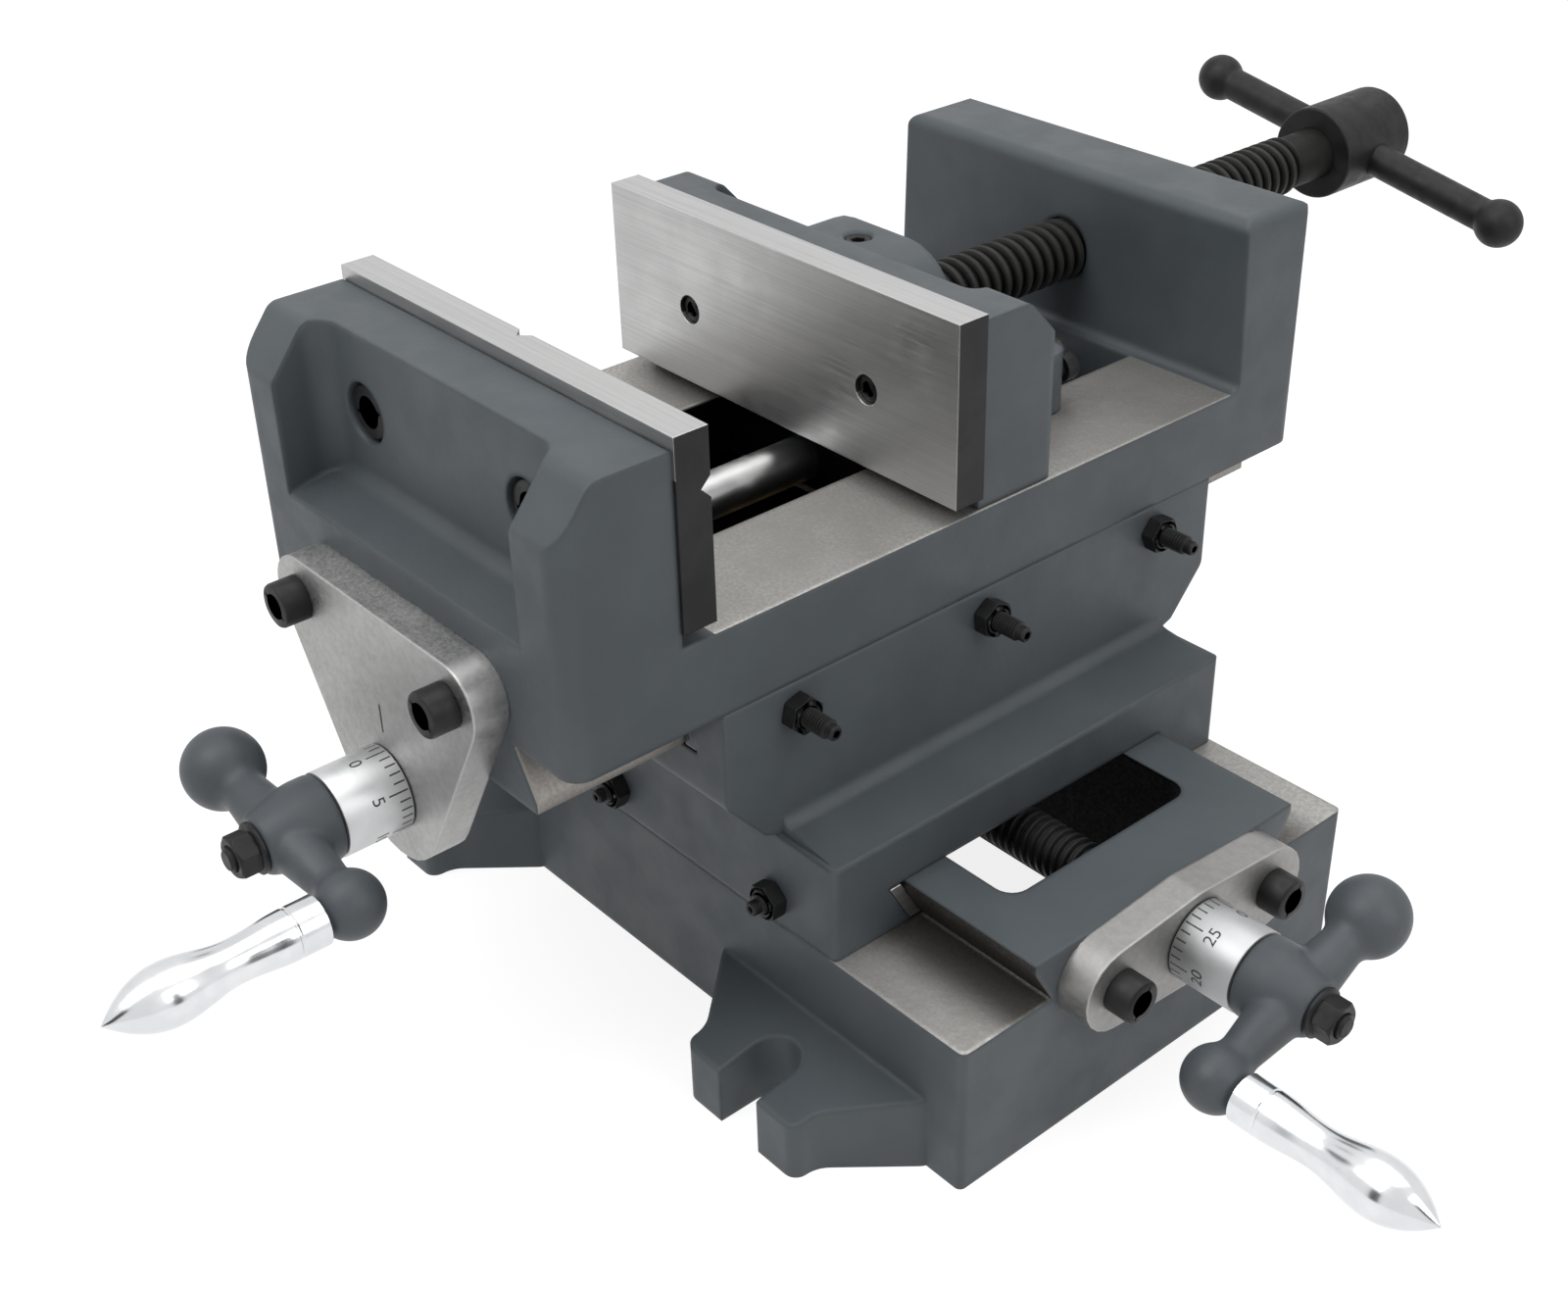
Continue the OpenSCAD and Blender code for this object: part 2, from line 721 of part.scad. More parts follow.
module saddle() {
    block_top = saddle_z + block_h;
    rail_end = saddle_top - rail_end_h;
    channel_z = y_axis_z - channel_w / 2 + 1;
    color(paint) difference() {
        union() {
            along_z(saddle_z, block_top)
                polygon(box_path(-saddle_l / 2, saddle_l / 2, -base_w / 2, base_w / 2, corner_r));
            along_x(-body_w / 2, body_w / 2)
                polygon(rounded([[-base_w / 2 + 2, block_top - 6, 0], [base_w / 2 - 2, block_top - 6, 0],
                                 [base_w / 2 - 2, block_top, 0], [base_w / 2 + 4, block_top + 2, 2],
                                 [rail_l / 2, rail_end, 4], [rail_l / 2, saddle_top, 0],
                                 [-rail_l / 2, saddle_top, 0], [-rail_l / 2, rail_end, 4],
                                 [-base_w / 2 - 4, block_top + 2, 2], [-base_w / 2 + 2, block_top, 0]]));
            // Sloped ledge along the lower block
            along_y(-base_w / 2 + 2, base_w / 2 - 2)
                polygon(rounded([[-saddle_l / 2 + 3, block_top - 4, 0], [saddle_l / 2 - 3, block_top - 4, 0],
                                 [saddle_l / 2 - 3, block_top, 0], [body_w / 2, block_top + 2.5, 4],
                                 [body_w / 2, block_top + 12, 0], [-body_w / 2, block_top + 12, 0],
                                 [-body_w / 2, block_top + 2.5, 4], [-saddle_l / 2 + 3, block_top, 0]]));
        }
        along_x(-saddle_l / 2 - 1, saddle_l / 2 + 1) x_cavity();
        along_y(-rail_l / 2 - 1, rail_l / 2 + 1) y_cavity();
        along_y(-rail_l / 2 - 1, rail_l / 2 + 1)
            polygon(rounded([[-channel_w / 2, channel_z, 2], [channel_w / 2, channel_z, 2],
                             [channel_w / 2, y_dt_z + 1, 0], [-channel_w / 2, y_dt_z + 1, 0]]));
        for (i = [-1 : 1]) {
            rod_y(gib_screw_r + fit_gap, -base_w / 2 - 1, -x_dt_root - gib_room, i * gib_pitch, x_gib_z);
            rod_x(gib_screw_r + fit_gap, y_dt_root + gib_room, body_w / 2 + 1, i * gib_pitch, y_gib_z);
        }
        for (x = [-1, 1], y = [-1, 1]) {
            rod_z(m5_r + fit_gap, channel_z - y_nut_tap, channel_z + 1, x * y_nut_screw_x, y * y_nut_screw_y);
            rod_z(m5_r + fit_gap, x_dt_top - 1, x_dt_top + way_gap + x_nut_tap,
                  x * x_nut_screw_x, y * x_nut_screw_y);
        }
    }
}

// Gib strips that take up the play of the slides
module x_gib() {
    z0 = base_h + 0.8;
    z1 = x_dt_top - 0.6;
    y0 = x_dt_root + side_gap;
    color(steel)
        along_x(-saddle_l / 2, saddle_l / 2)
            polygon([[-y0 - (z0 - base_h) * dt_run, z0], [-y0 - (z1 - base_h) * dt_run, z1],
                     [-y0 - gib_w - (z1 - base_h) * dt_run, z1], [-y0 - gib_w - (z0 - base_h) * dt_run, z0]]);
}

module y_gib() {
    z0 = y_dt_z + 0.6;
    z1 = body_z - 0.8;
    x0 = y_dt_root + side_gap;
    color(steel)
        along_y(-rail_l / 2, rail_l / 2)
            polygon([[x0 + (body_z - z0) * dt_run, z0], [x0 + gib_w + (body_z - z0) * dt_run, z0],
                     [x0 + gib_w + (body_z - z1) * dt_run, z1], [x0 + (body_z - z1) * dt_run, z1]]);
}

// Gib screws: square cut end on the strip, lock nut on the wall, dog point outside
module gib_screw(l_in, l_out) {
    translate([0, 0, -l_in])
        cylinder(r = gib_screw_r, h = l_in + l_out - 3);
    translate([0, 0, l_out - 3.5])
        cylinder(r = gib_screw_r - 0.8, h = 3.5);
}

module gib_nut() {
    difference() {
        cylinder(r = gib_nut_r, h = gib_nut_l, $fn = 6);
        translate([0, 0, -1])
            cylinder(r = gib_screw_r + fit_gap, h = gib_nut_l + 2);
    }
}

module at_x_gib_screws() {
    for (i = [-1 : 1])
        translate([i * gib_pitch, -base_w / 2, x_gib_z])
            rotate([90, 0, 0])
                children();
}

module at_y_gib_screws() {
    for (i = [-1 : 1])
        translate([body_w / 2, i * gib_pitch, y_gib_z])
            rotate([0, 90, 0])
                children();
}

module x_gib_screws() {
    tip = x_dt_root + side_gap + gib_w + (x_gib_z - gib_screw_r - base_h) * dt_run;
    reach = tip + 2 * gib_screw_r * dt_run + 0.1;
    color(black) at_x_gib_screws() gib_screw(base_w / 2 - reach, x_gib_out);
}

module x_gib_nuts() {
    color(black) at_x_gib_screws() gib_nut();
}

module y_gib_screws() {
    tip = y_dt_root + side_gap + gib_w + (body_z - y_gib_z - gib_screw_r) * dt_run;
    reach = tip + 2 * gib_screw_r * dt_run + 0.1;
    color(black) at_y_gib_screws() gib_screw(body_w / 2 - reach, y_gib_out);
}

module y_gib_nuts() {
    color(black) at_y_gib_screws() gib_nut();
}

// Nut of the lower screw, hung from the saddle into the opening of the base
module x_nut() {
    top = x_dt_top + way_gap;
    flange_x = x_nut_screw_x + x_nut_rim;
    flange_y = open_w / 2 - x_nut_inset;
    color(bronze) difference() {
        union() {
            along_z(x_axis_z + lead_d / 2 + 0.5, top)
                polygon(box_path(-flange_x, flange_x, -flange_y, flange_y, 4));
            along_x(-x_nut_l / 2, x_nut_l / 2)
                polygon(box_path(-lead_d / 2 - 6, lead_d / 2 + 6, x_axis_z - lead_d / 2 - 6, top, 3));
        }
        rod_x(lead_d / 2 + run_gap, -flange_x - 1, flange_x + 1, 0, x_axis_z);
        for (x = [-1, 1], y = [-1, 1])
            rod_z(m5_r + fit_gap, base_h, top + 1, x * x_nut_screw_x, y * x_nut_screw_y);
    }
}

module x_nut_screws() {
    seat = x_axis_z + lead_d / 2 + 0.5;
    color(black)
        for (x = [-1, 1], y = [-1, 1])
            translate([x * x_nut_screw_x, y * x_nut_screw_y, seat])
                rotate([180, 0, 0])
                    cap_screw(m5_r, m5_head_r, m5_head_l, x_dt_top + way_gap - seat + x_nut_tap - 1);
}

// Nut of the upper screw, seated on the floor of the saddle's channel
module y_nut() {
    floor_z = y_axis_z - channel_w / 2 + 1;
    flange_y = y_nut_screw_y + 7;
    flange_z = floor_z + nut_flange;
    half = channel_w / 2 - 1.5;
    crown = y_axis_z + lead_d / 2 + 5;
    color(bronze) difference() {
        union() {
            along_z(floor_z, flange_z)
                polygon(box_path(-half + 1.2, half - 1.2, -flange_y, flange_y, 3));
            along_y(-y_nut_l / 2, y_nut_l / 2)
                polygon(rounded([[-half + 4, floor_z, 0], [half - 4, floor_z, 0],
                                 [half - 4, crown, 7], [4 - half, crown, 7]]));
        }
        rod_y(lead_d / 2 + run_gap, -flange_y - 1, flange_y + 1, 0, y_axis_z);
        for (x = [-1, 1], y = [-1, 1])
            rod_z(m5_r + fit_gap, floor_z - 1, flange_z + 1, x * y_nut_screw_x, y * y_nut_screw_y);
    }
}

module y_nut_screws() {
    floor_z = y_axis_z - channel_w / 2 + 1;
    color(black)
        for (x = [-1, 1], y = [-1, 1])
            translate([x * y_nut_screw_x, y * y_nut_screw_y, floor_z + nut_flange])
                cap_screw(m5_r, m5_head_r, m5_head_l, nut_flange + y_nut_tap - 1);
}

// Vise body: bed, fixed jaw with its pocket, rear block and the upper dovetail
module body_blank() {
    intersection() {
        union() {
            along_y(-body_front, body_rear)
                polygon([[-body_w / 2, body_z], [-y_dt_root, body_z], [-y_dt_half, y_dt_z + dt_land],
                         [-y_dt_half, y_dt_z], [y_dt_half, y_dt_z], [y_dt_half, y_dt_z + dt_land],
                         [y_dt_root, body_z], [body_w / 2, body_z], [body_w / 2, bed_z],
                         [-body_w / 2, bed_z]]);
            along_x(-body_w / 2, body_w / 2)
                polygon(rounded([[-body_front, body_z, 0], [seat_y, body_z, 0], [seat_y, fixed_top, 1],
                                 [-body_front + 12, fixed_top, 5], [-body_front, fixed_top - 15, 4]]));
            intersection() {
                along_x(-body_w / 2, body_w / 2)
                    polygon(rounded([[rear_y - 4, body_z, 0], [body_rear, body_z, 0],
                                     [body_rear, rear_top, rear_round], [rear_y, rear_top, rear_round],
                                     [rear_y, bed_z, 3], [rear_y - 4, bed_z, 0]]));
                along_y(rear_y - 5, body_rear + 1)
                    polygon(rounded([[-body_w / 2, body_z, 0], [body_w / 2, body_z, 0],
                                     [body_w / 2, bed_z, 0],
                                     [body_w / 2 - rear_taper, rear_top, rear_round],
                                     [rear_taper - body_w / 2, rear_top, rear_round],
                                     [-body_w / 2, bed_z, 0]]));
            }
        }
        along_z(y_dt_z - 1, fixed_top + 1)
            polygon(box_path(-body_w / 2, body_w / 2, -body_front, body_rear, cast_r));
    }
}

module jaw_pocket() {
    half = body_w / 2 - wing_t;
    intersection() {
        along_x(-half, half)
            polygon(rounded([[-body_front - 5, bed_z + lip_h - 1, 0], [wall_y, bed_z + lip_h + 4, 5],
                             [wall_y, fixed_top + 5, 0], [-body_front - 5, fixed_top + 5, 0]]));
        along_z(bed_z, fixed_top + 6)
            polygon(rounded([[-half, -body_front - 6, 0], [half, -body_front - 6, 0],
                             [half, wall_y, 8], [-half, wall_y, 8]]));
    }
}

module vise_body() {
    bore_l = m10_head_l + bore_edge;
    front = -body_front;
    up = body_z + plate_screw_up;
    color(paint) difference() {
        body_blank();
        jaw_pocket();
        // Slot in the bed, undercut for the keeper of the movable jaw
        translate([-slot_w / 2, slot_y0, y_dt_z - 1])
            cube([slot_w, slot_y1 - slot_y0, y_dt_h + rail_h + 2]);
        translate([-slot_w / 2 - keeper_side, slot_y0, keeper_z - jaw_gap])
            cube([slot_w + 2 * keeper_side, slot_y1 - slot_y0, keeper_t + 2 * jaw_gap]);
        rod_y(rod_r + fit_gap, slot_y0 - rod_seat, slot_y1 + rod_seat, 0, rod_z);
        rod_y(clamp_d / 2 + run_gap, rear_y - 1, body_rear + 1, 0, clamp_z);
        for (x = [-1, 1]) {
            rod_y(m10_r + fit_gap, wall_y - 1, seat_y + 1, x * fixed_screw_span / 2, fixed_screw_z);
            rod_y(m10_head_r + bore_edge, wall_y - 1, wall_y + bore_l,
                  x * fixed_screw_span / 2, fixed_screw_z);
            rod_y(m8_r + fit_gap, front - 1, front + plate_screw_in + 2, x * plate_screw_x, up);
        }
    }
}

// Jaw plate with its gripping face toward +Y at y = 0
module plate_blank() {
    translate([-jaw_w / 2, -jaw_t, plate_z])
        cube([jaw_w, jaw_t, jaw_h]);
}

module fixed_jaw_plate() {
    mid_z = plate_z + jaw_h * 0.7;
    color(steel) difference() {
        translate([0, grip_y, 0])
            plate_blank();
        translate([0, grip_y, mid_z])
            rotate([45, 0, 0])
                cube([jaw_w + 2, vee_w / sqrt(2), vee_w / sqrt(2)], center = true);
        translate([0, grip_y, plate_z + jaw_h / 2])
            rotate([0, 0, 45])
                cube([vee_w / sqrt(2), vee_w / sqrt(2), jaw_h + 2], center = true);
        for (x = [-1, 1])
            rod_y(m10_r + fit_gap, seat_y - 1, grip_y - 2.5, x * fixed_screw_span / 2, fixed_screw_z);
    }
}

module fixed_jaw_screws() {
    seat = wall_y + m10_head_l + bore_edge;
    color(black)
        for (x = [-1, 1])
            translate([x * fixed_screw_span / 2, seat, fixed_screw_z])
                rotate([90, 0, 0])
                    cap_screw(m10_r, m10_head_r, m10_head_l, grip_y - 3 - seat);
}

module guide_rod() {
    color(steel) rod_y(rod_r, slot_y0 - rod_seat + 0.5, slot_y1 + rod_seat - 0.5, 0, rod_z);
}

// End plate of the upper screw: wide at the body, narrow at the screw below it
module y_end_plate() {
    up = body_z + plate_screw_up;
    color(steel) difference() {
        along_y(-body_front - plate_t, -body_front)
            polygon(band([[0, y_axis_z, plate_foot_r], [plate_screw_x, up, plate_corner_r],
                          [-plate_screw_x, up, plate_corner_r]]));
        rod_y(journal_r + run_gap, -body_front - plate_t - 1, -body_front + 1, 0, y_axis_z);
        for (x = [-1, 1])
            rod_y(m8_r + fit_gap, -body_front - plate_t - 1, -body_front + 1, x * plate_screw_x, up);
    }
}

module y_end_screws() {
    color(black)
        for (x = [-1, 1])
            translate([x * plate_screw_x, -body_front - plate_t, body_z + plate_screw_up])
                rotate([90, 0, 0])
                    cap_screw(m8_r, m8_head_r, m8_head_l, plate_t + plate_screw_in);
}

module y_screw() {
    color(black) at_y_crank() lead_screw(body_front + rail_l / 2 - 20);
}

module y_dial() {
    color(satin) at_y_crank() dial();
}

module y_crank() {
    color(paint) at_y_crank() crank();
}

module y_crank_nut() {
    color(black) at_y_crank() crank_nut();
}

module y_grip_pivot() {
    color(steel) at_y_crank() grip_pivot();
}

module y_grip() {
    color(chrome) at_y_crank() grip();
}

// Movable jaw: wall, side wings, boss for the clamp screw, foot on the bed and keel in the slot
module movable_jaw() {
    half = body_w / 2 - 1;
    top = bed_z + mov_h;
    pocket_x = half - mov_wing_t;
    color(paint) difference() {
        union() {
            difference() {
                intersection() {
                    along_x(-half, half)
                        polygon(rounded([[mov_y, mov_z, 0], [mov_back, mov_z, 0], [mov_back, top - 13.5, 4],
                                         [mov_back - 12.5, top, 4], [mov_y, top, 1]]));
                    along_z(mov_z, top)
                        polygon(rounded([[-half, mov_y, 0], [half, mov_y, 0], [half, mov_back, 4],
                                         [-half, mov_back, 4]]));
                }
                for (side = [0, 1])
                    mirror([side, 0, 0])
                        along_z(mov_z + foot_h, top + 1)
                            polygon(rounded([[0, mov_y + mov_wall, 0], [pocket_x, mov_y + mov_wall, 5],
                                             [pocket_x, mov_back + 5, 0], [0, mov_back + 5, 0]]));
            }
            along_y(mov_y + 2, boss_y)
                polygon(rounded([[-boss_w / 2, mov_z, 0], [boss_w / 2, mov_z, 0],
                                 [boss_w / 2, bed_z + boss_h, boss_round],
                                 [-boss_w / 2, bed_z + boss_h, boss_round]]));
            along_z(mov_z, mov_z + foot_h)
                polygon(rounded([[-foot_w / 2, mov_y + 2, 0], [foot_w / 2, mov_y + 2, 0],
                                 [foot_w / 2, foot_y, 6], [-foot_w / 2, foot_y, 6]]));
            translate([-keel_half, mov_y, keeper_top])
                cube([2 * keel_half, foot_l, mov_z - keeper_top + 2]);
        }
        rod_y(rod_r + run_gap, mov_y - 1, foot_y + 1, 0, rod_z);
        rod_y(nose_r + run_gap, boss_y - nose_l - end_gap, boss_y + 1, 0, clamp_z);
        // Trough in the foot under the clamp screw
        rod_y(clamp_d / 2 + screw_room, boss_y, foot_y + 1, 0, clamp_z);
        rod_z(m8_r + fit_gap, clamp_z, top + 5, 0, groove_y);
        translate([0, groove_y, bed_z + boss_h - set_screw_room])
            cylinder(r1 = m8_r + fit_gap, r2 = m8_r + fit_gap + 2 * set_screw_room, h = 2 * set_screw_room);
        for (x = [-1, 1]) {
            rod_y(m5_r + fit_gap, mov_y - 1, mov_y + mov_screw_in + 1, x * mov_screw_span / 2, mov_screw_z);
            rod_y(m5_r + fit_gap, foot_y - foot_screw_in - 1, foot_y + 1, x * foot_screw_x, foot_screw_z);
            for (y = keeper_screw_y)
                rod_z(m6_r + fit_gap, keeper_top - 1, mov_z - 2, x * keeper_screw_x, y);
        }
    }
}

module movable_jaw_plate() {
    color(steel) difference() {
        translate([0, mov_y, 0])
            plate_blank();
        for (x = [-1, 1]) {
            rod_y(m5_r + fit_gap, mov_grip_y - 1, mov_y + 1, x * mov_screw_span / 2, mov_screw_z);
            rod_y(m5_head_r + 0.25, mov_grip_y - 1, mov_seat, x * mov_screw_span / 2, mov_screw_z);
        }
    }
}

module movable_jaw_screws() {
    color(black)
        for (x = [-1, 1])
            translate([x * mov_screw_span / 2, mov_seat, mov_screw_z])
                rotate([90, 0, 0])
                    cap_screw(m5_r, m5_head_r, m5_head_l, mov_y - mov_seat + mov_screw_in);
}

// Keeper plate under the rails of the bed
module keeper_plate() {
    half = slot_w / 2 + keeper_side - 0.5;
    color(steel) difference() {
        along_z(keeper_z, keeper_top)
            polygon(box_path(-half, half, mov_y + 4, foot_y - 4, 2));
        for (x = [-1, 1], y = keeper_screw_y)
            rod_z(m6_r + fit_gap, keeper_z - 1, keeper_top + 1, x * keeper_screw_x, y);
    }
}

module keeper_screws() {
    color(black)
        for (x = [-1, 1], y = keeper_screw_y)
            translate([x * keeper_screw_x, y, keeper_z])
                rotate([180, 0, 0])
                    cap_screw(m6_r, m6_head_r, m6_head_l, keeper_t + keeper_screw_in);
}

module foot_screws() {
    color(black)
        for (x = [-1, 1])
            translate([x * foot_screw_x, foot_y, foot_screw_z])
                rotate([-90, 0, 0])
                    cap_screw(m5_r, m5_head_r, m5_head_l, foot_screw_in);
}

// Set screw whose tip runs in the groove of the clamp screw
module retaining_screw() {
    top = bed_z + boss_h - set_screw_room;
    socket_r = m8_r * 0.56;
    color(black) difference() {
        union() {
            rod_z(m8_r, clamp_z + nose_r + 1, top, 0, groove_y);
            rod_z(set_screw_tip_r, clamp_z + groove_r + 0.4, top - 2 * socket_r, 0, groove_y);
        }
        translate([0, groove_y, top - 2 * socket_r])
            cylinder(r = socket_r, h = 3 * socket_r, $fn = 6);
    }
}

module clamp_screw() {
    color(black) difference() {
        union() {
            rod_y(nose_r, boss_y - nose_l, boss_y + 2, 0, clamp_z);
            rod_y(clamp_d / 2, boss_y + end_gap, head_y - neck_l, 0, clamp_z);
            rod_y(neck_r, head_y - neck_l - 1, head_y + head_l - 4, 0, clamp_z);
        }
        difference() {
            rod_y(nose_r + 1, groove_y - groove_w / 2, groove_y + groove_w / 2, 0, clamp_z);
            rod_y(groove_r, groove_y - groove_w, groove_y + groove_w, 0, clamp_z);
        }
        at_bar()
            translate([0, 0, -head_d])
                cylinder(r = bar_d / 2 + run_gap, h = 2 * head_d);
    }
}

// Place of the sliding bar: its own +Z points along the bar toward +X
module at_bar() {
    translate([0, bar_y, clamp_z])
        rotate([0, 90 + bar_turn, 0])
            children();
}

// Hub of the clamp screw with the cross hole of the sliding bar
module clamp_head() {
    color(black) difference() {
        translate([0, head_y, clamp_z])
            rotate([-90, 0, 0])
                rotate_extrude()
                    polygon(rounded([[0, 0, 0], [head_d / 2, 0, 1], [head_d / 2, head_l, 2],
                                     [0, head_l, 0]]));
        rod_y(neck_r + fit_gap, head_y - 1, head_y + head_l - 4 + fit_gap, 0, clamp_z);
        at_bar()
            translate([0, 0, -head_d])
                cylinder(r = bar_d / 2 + run_gap, h = 2 * head_d);
    }
}

module t_bar() {
    color(black)
        at_bar()
            translate([0, 0, bar_shift - bar_l / 2])
                cylinder(r = bar_d / 2, h = bar_l);
}

module t_bar_balls() {
    color(black) at_bar()
        for (z = [-1, 1])
            difference() {
                translate([0, 0, bar_shift + z * bar_l / 2])
                    sphere(d = bar_ball_d);
                translate([0, 0, bar_shift - bar_l / 2])
                    cylinder(r = bar_d / 2 + fit_gap, h = bar_l + fit_gap * 2);
            }
}

base();
x_end_plate();
x_end_screws();
x_screw();
x_dial();
x_crank();
x_crank_nut();
x_grip_pivot();
x_grip();
saddle();
x_gib();
x_gib_screws();
x_gib_nuts();
y_gib();
y_gib_screws();
y_gib_nuts();
x_nut();
x_nut_screws();
y_nut();
y_nut_screws();
vise_body();
fixed_jaw_plate();
fixed_jaw_screws();
guide_rod();
y_end_plate();
y_end_screws();
y_screw();
y_dial();
y_crank();
y_crank_nut();
y_grip_pivot();
y_grip();
movable_jaw();
movable_jaw_plate();
movable_jaw_screws();
keeper_plate();
keeper_screws();
foot_screws();
retaining_screw();
clamp_screw();
clamp_head();
t_bar();
t_bar_balls();
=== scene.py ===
"""Cross slide vise: the dressed model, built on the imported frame. Shapes are drawn in millimetres."""
import logging
import math
from dataclasses import dataclass
from enum import Enum
from functools import cache
from typing import Any, Iterable, Sequence

import bmesh
import bpy
from bmesh.types import BMesh, BMVert
from bpy.types import Material, Mesh, Node, NodeSocket as Socket, NodeTree, Object
from mathutils import Matrix, Vector


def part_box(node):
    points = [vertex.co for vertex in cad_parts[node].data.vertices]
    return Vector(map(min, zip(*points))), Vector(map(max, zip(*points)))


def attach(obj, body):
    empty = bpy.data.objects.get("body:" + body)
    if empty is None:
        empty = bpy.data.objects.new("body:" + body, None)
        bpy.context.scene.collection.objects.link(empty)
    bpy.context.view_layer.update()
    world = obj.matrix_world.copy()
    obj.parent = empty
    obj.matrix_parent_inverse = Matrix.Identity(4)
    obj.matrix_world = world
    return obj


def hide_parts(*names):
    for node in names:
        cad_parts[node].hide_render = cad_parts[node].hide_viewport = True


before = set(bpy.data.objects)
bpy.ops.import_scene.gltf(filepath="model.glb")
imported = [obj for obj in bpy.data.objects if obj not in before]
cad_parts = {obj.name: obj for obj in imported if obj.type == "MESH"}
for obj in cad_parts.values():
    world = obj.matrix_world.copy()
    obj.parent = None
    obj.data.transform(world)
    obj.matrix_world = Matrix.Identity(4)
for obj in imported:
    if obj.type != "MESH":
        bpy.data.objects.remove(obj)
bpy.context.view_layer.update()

LOG = logging.getLogger("vise")
MM = 0.001
ROUND = 48  # points on every ring of a lofted piece
HEX = 6
WELD = 1e-4  # points nearer than this are one
SOFT_LIMIT = 26.0  # degrees past which an edge of a dressed solid stays sharp
WHITE = (1.0, 1.0, 1.0, 1.0)
Point = tuple[float, float]
Triple = tuple[float, float, float]
Screw = tuple[float, float, float, float]  # radii of shank and head, height of the head, length of the shank


class Axis(Enum):
    """Direction in the vise's own frame, with its place in a vector."""

    X = 0
    Y = 1
    Z = 2


class Grind(Enum):
    """Way in which a steel face was finished, as stretch factors of its scratches."""

    ALONG_X = (14.0, 1500.0, 1500.0)
    ALONG_Y = (1500.0, 14.0, 1500.0)
    LAPPED = (420.0, 420.0, 420.0)


class Sheet:
    """One node tree, of a material or of the world, and short ways to add its nodes."""

    def __init__(self, name: str, kind: str = "materials") -> None:
        """Start an empty tree.

        Args:
            name: Name of the material or world.
            kind: Data blocks that it belongs to.
        """
        self.block = getattr(bpy.data, kind).new(name)
        self.block.use_nodes = True
        self.tree = self.block.node_tree
        self.tree.nodes.clear()
        self.where = self.node("ShaderNodeTexCoord")
        self.coords = self.where.outputs["Object"]

    def node(self, kind: str, sockets: dict[Any, Any] | None = None, **props: Any) -> Node:
        """Add a node.

        Args:
            kind: Type of the node.
            sockets: Values or sockets for its inputs, by name or number.
            props: Settings of the node itself.

        Returns:
            The new node.
        """
        made = self.tree.nodes.new(kind)
        for key, value in props.items():
            setattr(made, key, value)
        for key, value in (sockets or {}).items():
            if isinstance(value, Socket):
                self.tree.links.new(value, made.inputs[key])
            else:
                made.inputs[key].default_value = value
        return made

    def math(self, way: str, a: Any, b: Any = 0.0, clamp: bool = False) -> Socket:
        """Result of the Math node's operation on two values or sockets."""
        return self.node("ShaderNodeMath", {0: a, 1: b}, operation=way, use_clamp=clamp).outputs[0]

    def split(self, vector: Socket) -> Sequence[Socket]:
        """X, Y and Z of a vector."""
        return self.node("ShaderNodeSeparateXYZ", {0: vector}).outputs

    def ramp(self, value: Any, low: float, high: float, to_low: float = 0.0, to_high: float = 1.0) -> Socket:
        """Value stretched smoothly from one range to another."""
        return self.node("ShaderNodeMapRange", {0: value, 1: low, 2: high, 3: to_low, 4: to_high},
                         interpolation_type="SMOOTHSTEP", clamp=True).outputs[0]

    def noise(self, scale: float, detail: float, stretch: Sequence[float] | None = None,
              shift: float = 0.0) -> Socket:
        """Add noise on the piece's own coordinates.

        Args:
            scale: Waves in a metre, or a factor where stretch is given.
            detail: Number of finer layers.
            stretch: Waves in a metre along X, Y and Z.
            shift: Distance that sets this noise apart from another one.

        Returns:
            The noise between 0 and 1.
        """
        source = self.coords
        if stretch or shift:
            source = self.node("ShaderNodeMapping", {
                "Vector": source, "Location": (shift, shift * 0.7, shift * 1.3),
                "Scale": tuple(stretch or (1, 1, 1))}).outputs[0]
        return self.node("ShaderNodeTexNoise", {"Vector": source, "Scale": scale, "Detail": detail,
                                                "Roughness": 0.55}).outputs["Fac"]

    def cloud(self, scale: float, detail: float, low: float, high: float, *to: float, shift: float = 0.0) -> Socket:
        """Noise whose range from low to high is stretched to 0 and 1, or to the two values in to."""
        return self.ramp(self.noise(scale, detail, shift=shift), low, high, *to)

    def mix(self, part: Any, a: Any, b: Any) -> Socket:
        """Blend of two colours, with part as the second one's share."""
        full = [v if isinstance(v, Socket) else (*v, 1.0) for v in (a, b)]
        return self.node("ShaderNodeMix", {0: part, 6: full[0], 7: full[1]}, data_type="RGBA").outputs[2]

    def blend(self, part: Any, a: Any, b: Any) -> Socket:
        """Blend of two values, with part as the second one's share."""
        return self.node("ShaderNodeMix", {0: part, 2: a, 3: b}, data_type="FLOAT").outputs[0]

    def bump(self, height: Socket, strength: float, depth: float, normal: Socket | None = None) -> Socket:
        """Normal with a bump of some depth in metres on it, or on the mesh's own normal."""
        inputs = {"Height": height, "Strength": strength, "Distance": depth}
        return self.node("ShaderNodeBump", inputs | ({"Normal": normal} if normal else {})).outputs[0]

    def soft_edge(self, radius: float) -> Socket:
        """Normal that rounds every edge by a radius in metres."""
        return self.node("ShaderNodeBevel", {"Radius": radius}, samples=6).outputs[0]

    def edge(self, rounded: Socket, low: float, high: float) -> Socket:
        """One on an edge, where the rounded normal leaves the flat one, and zero away from it."""
        pair = {0: rounded, 1: self.node("ShaderNodeNewGeometry").outputs["Normal"]}
        return self.ramp(self.node("ShaderNodeVectorMath", pair, operation="DOT_PRODUCT").outputs["Value"],
                         low, high, 1.0, 0.0)

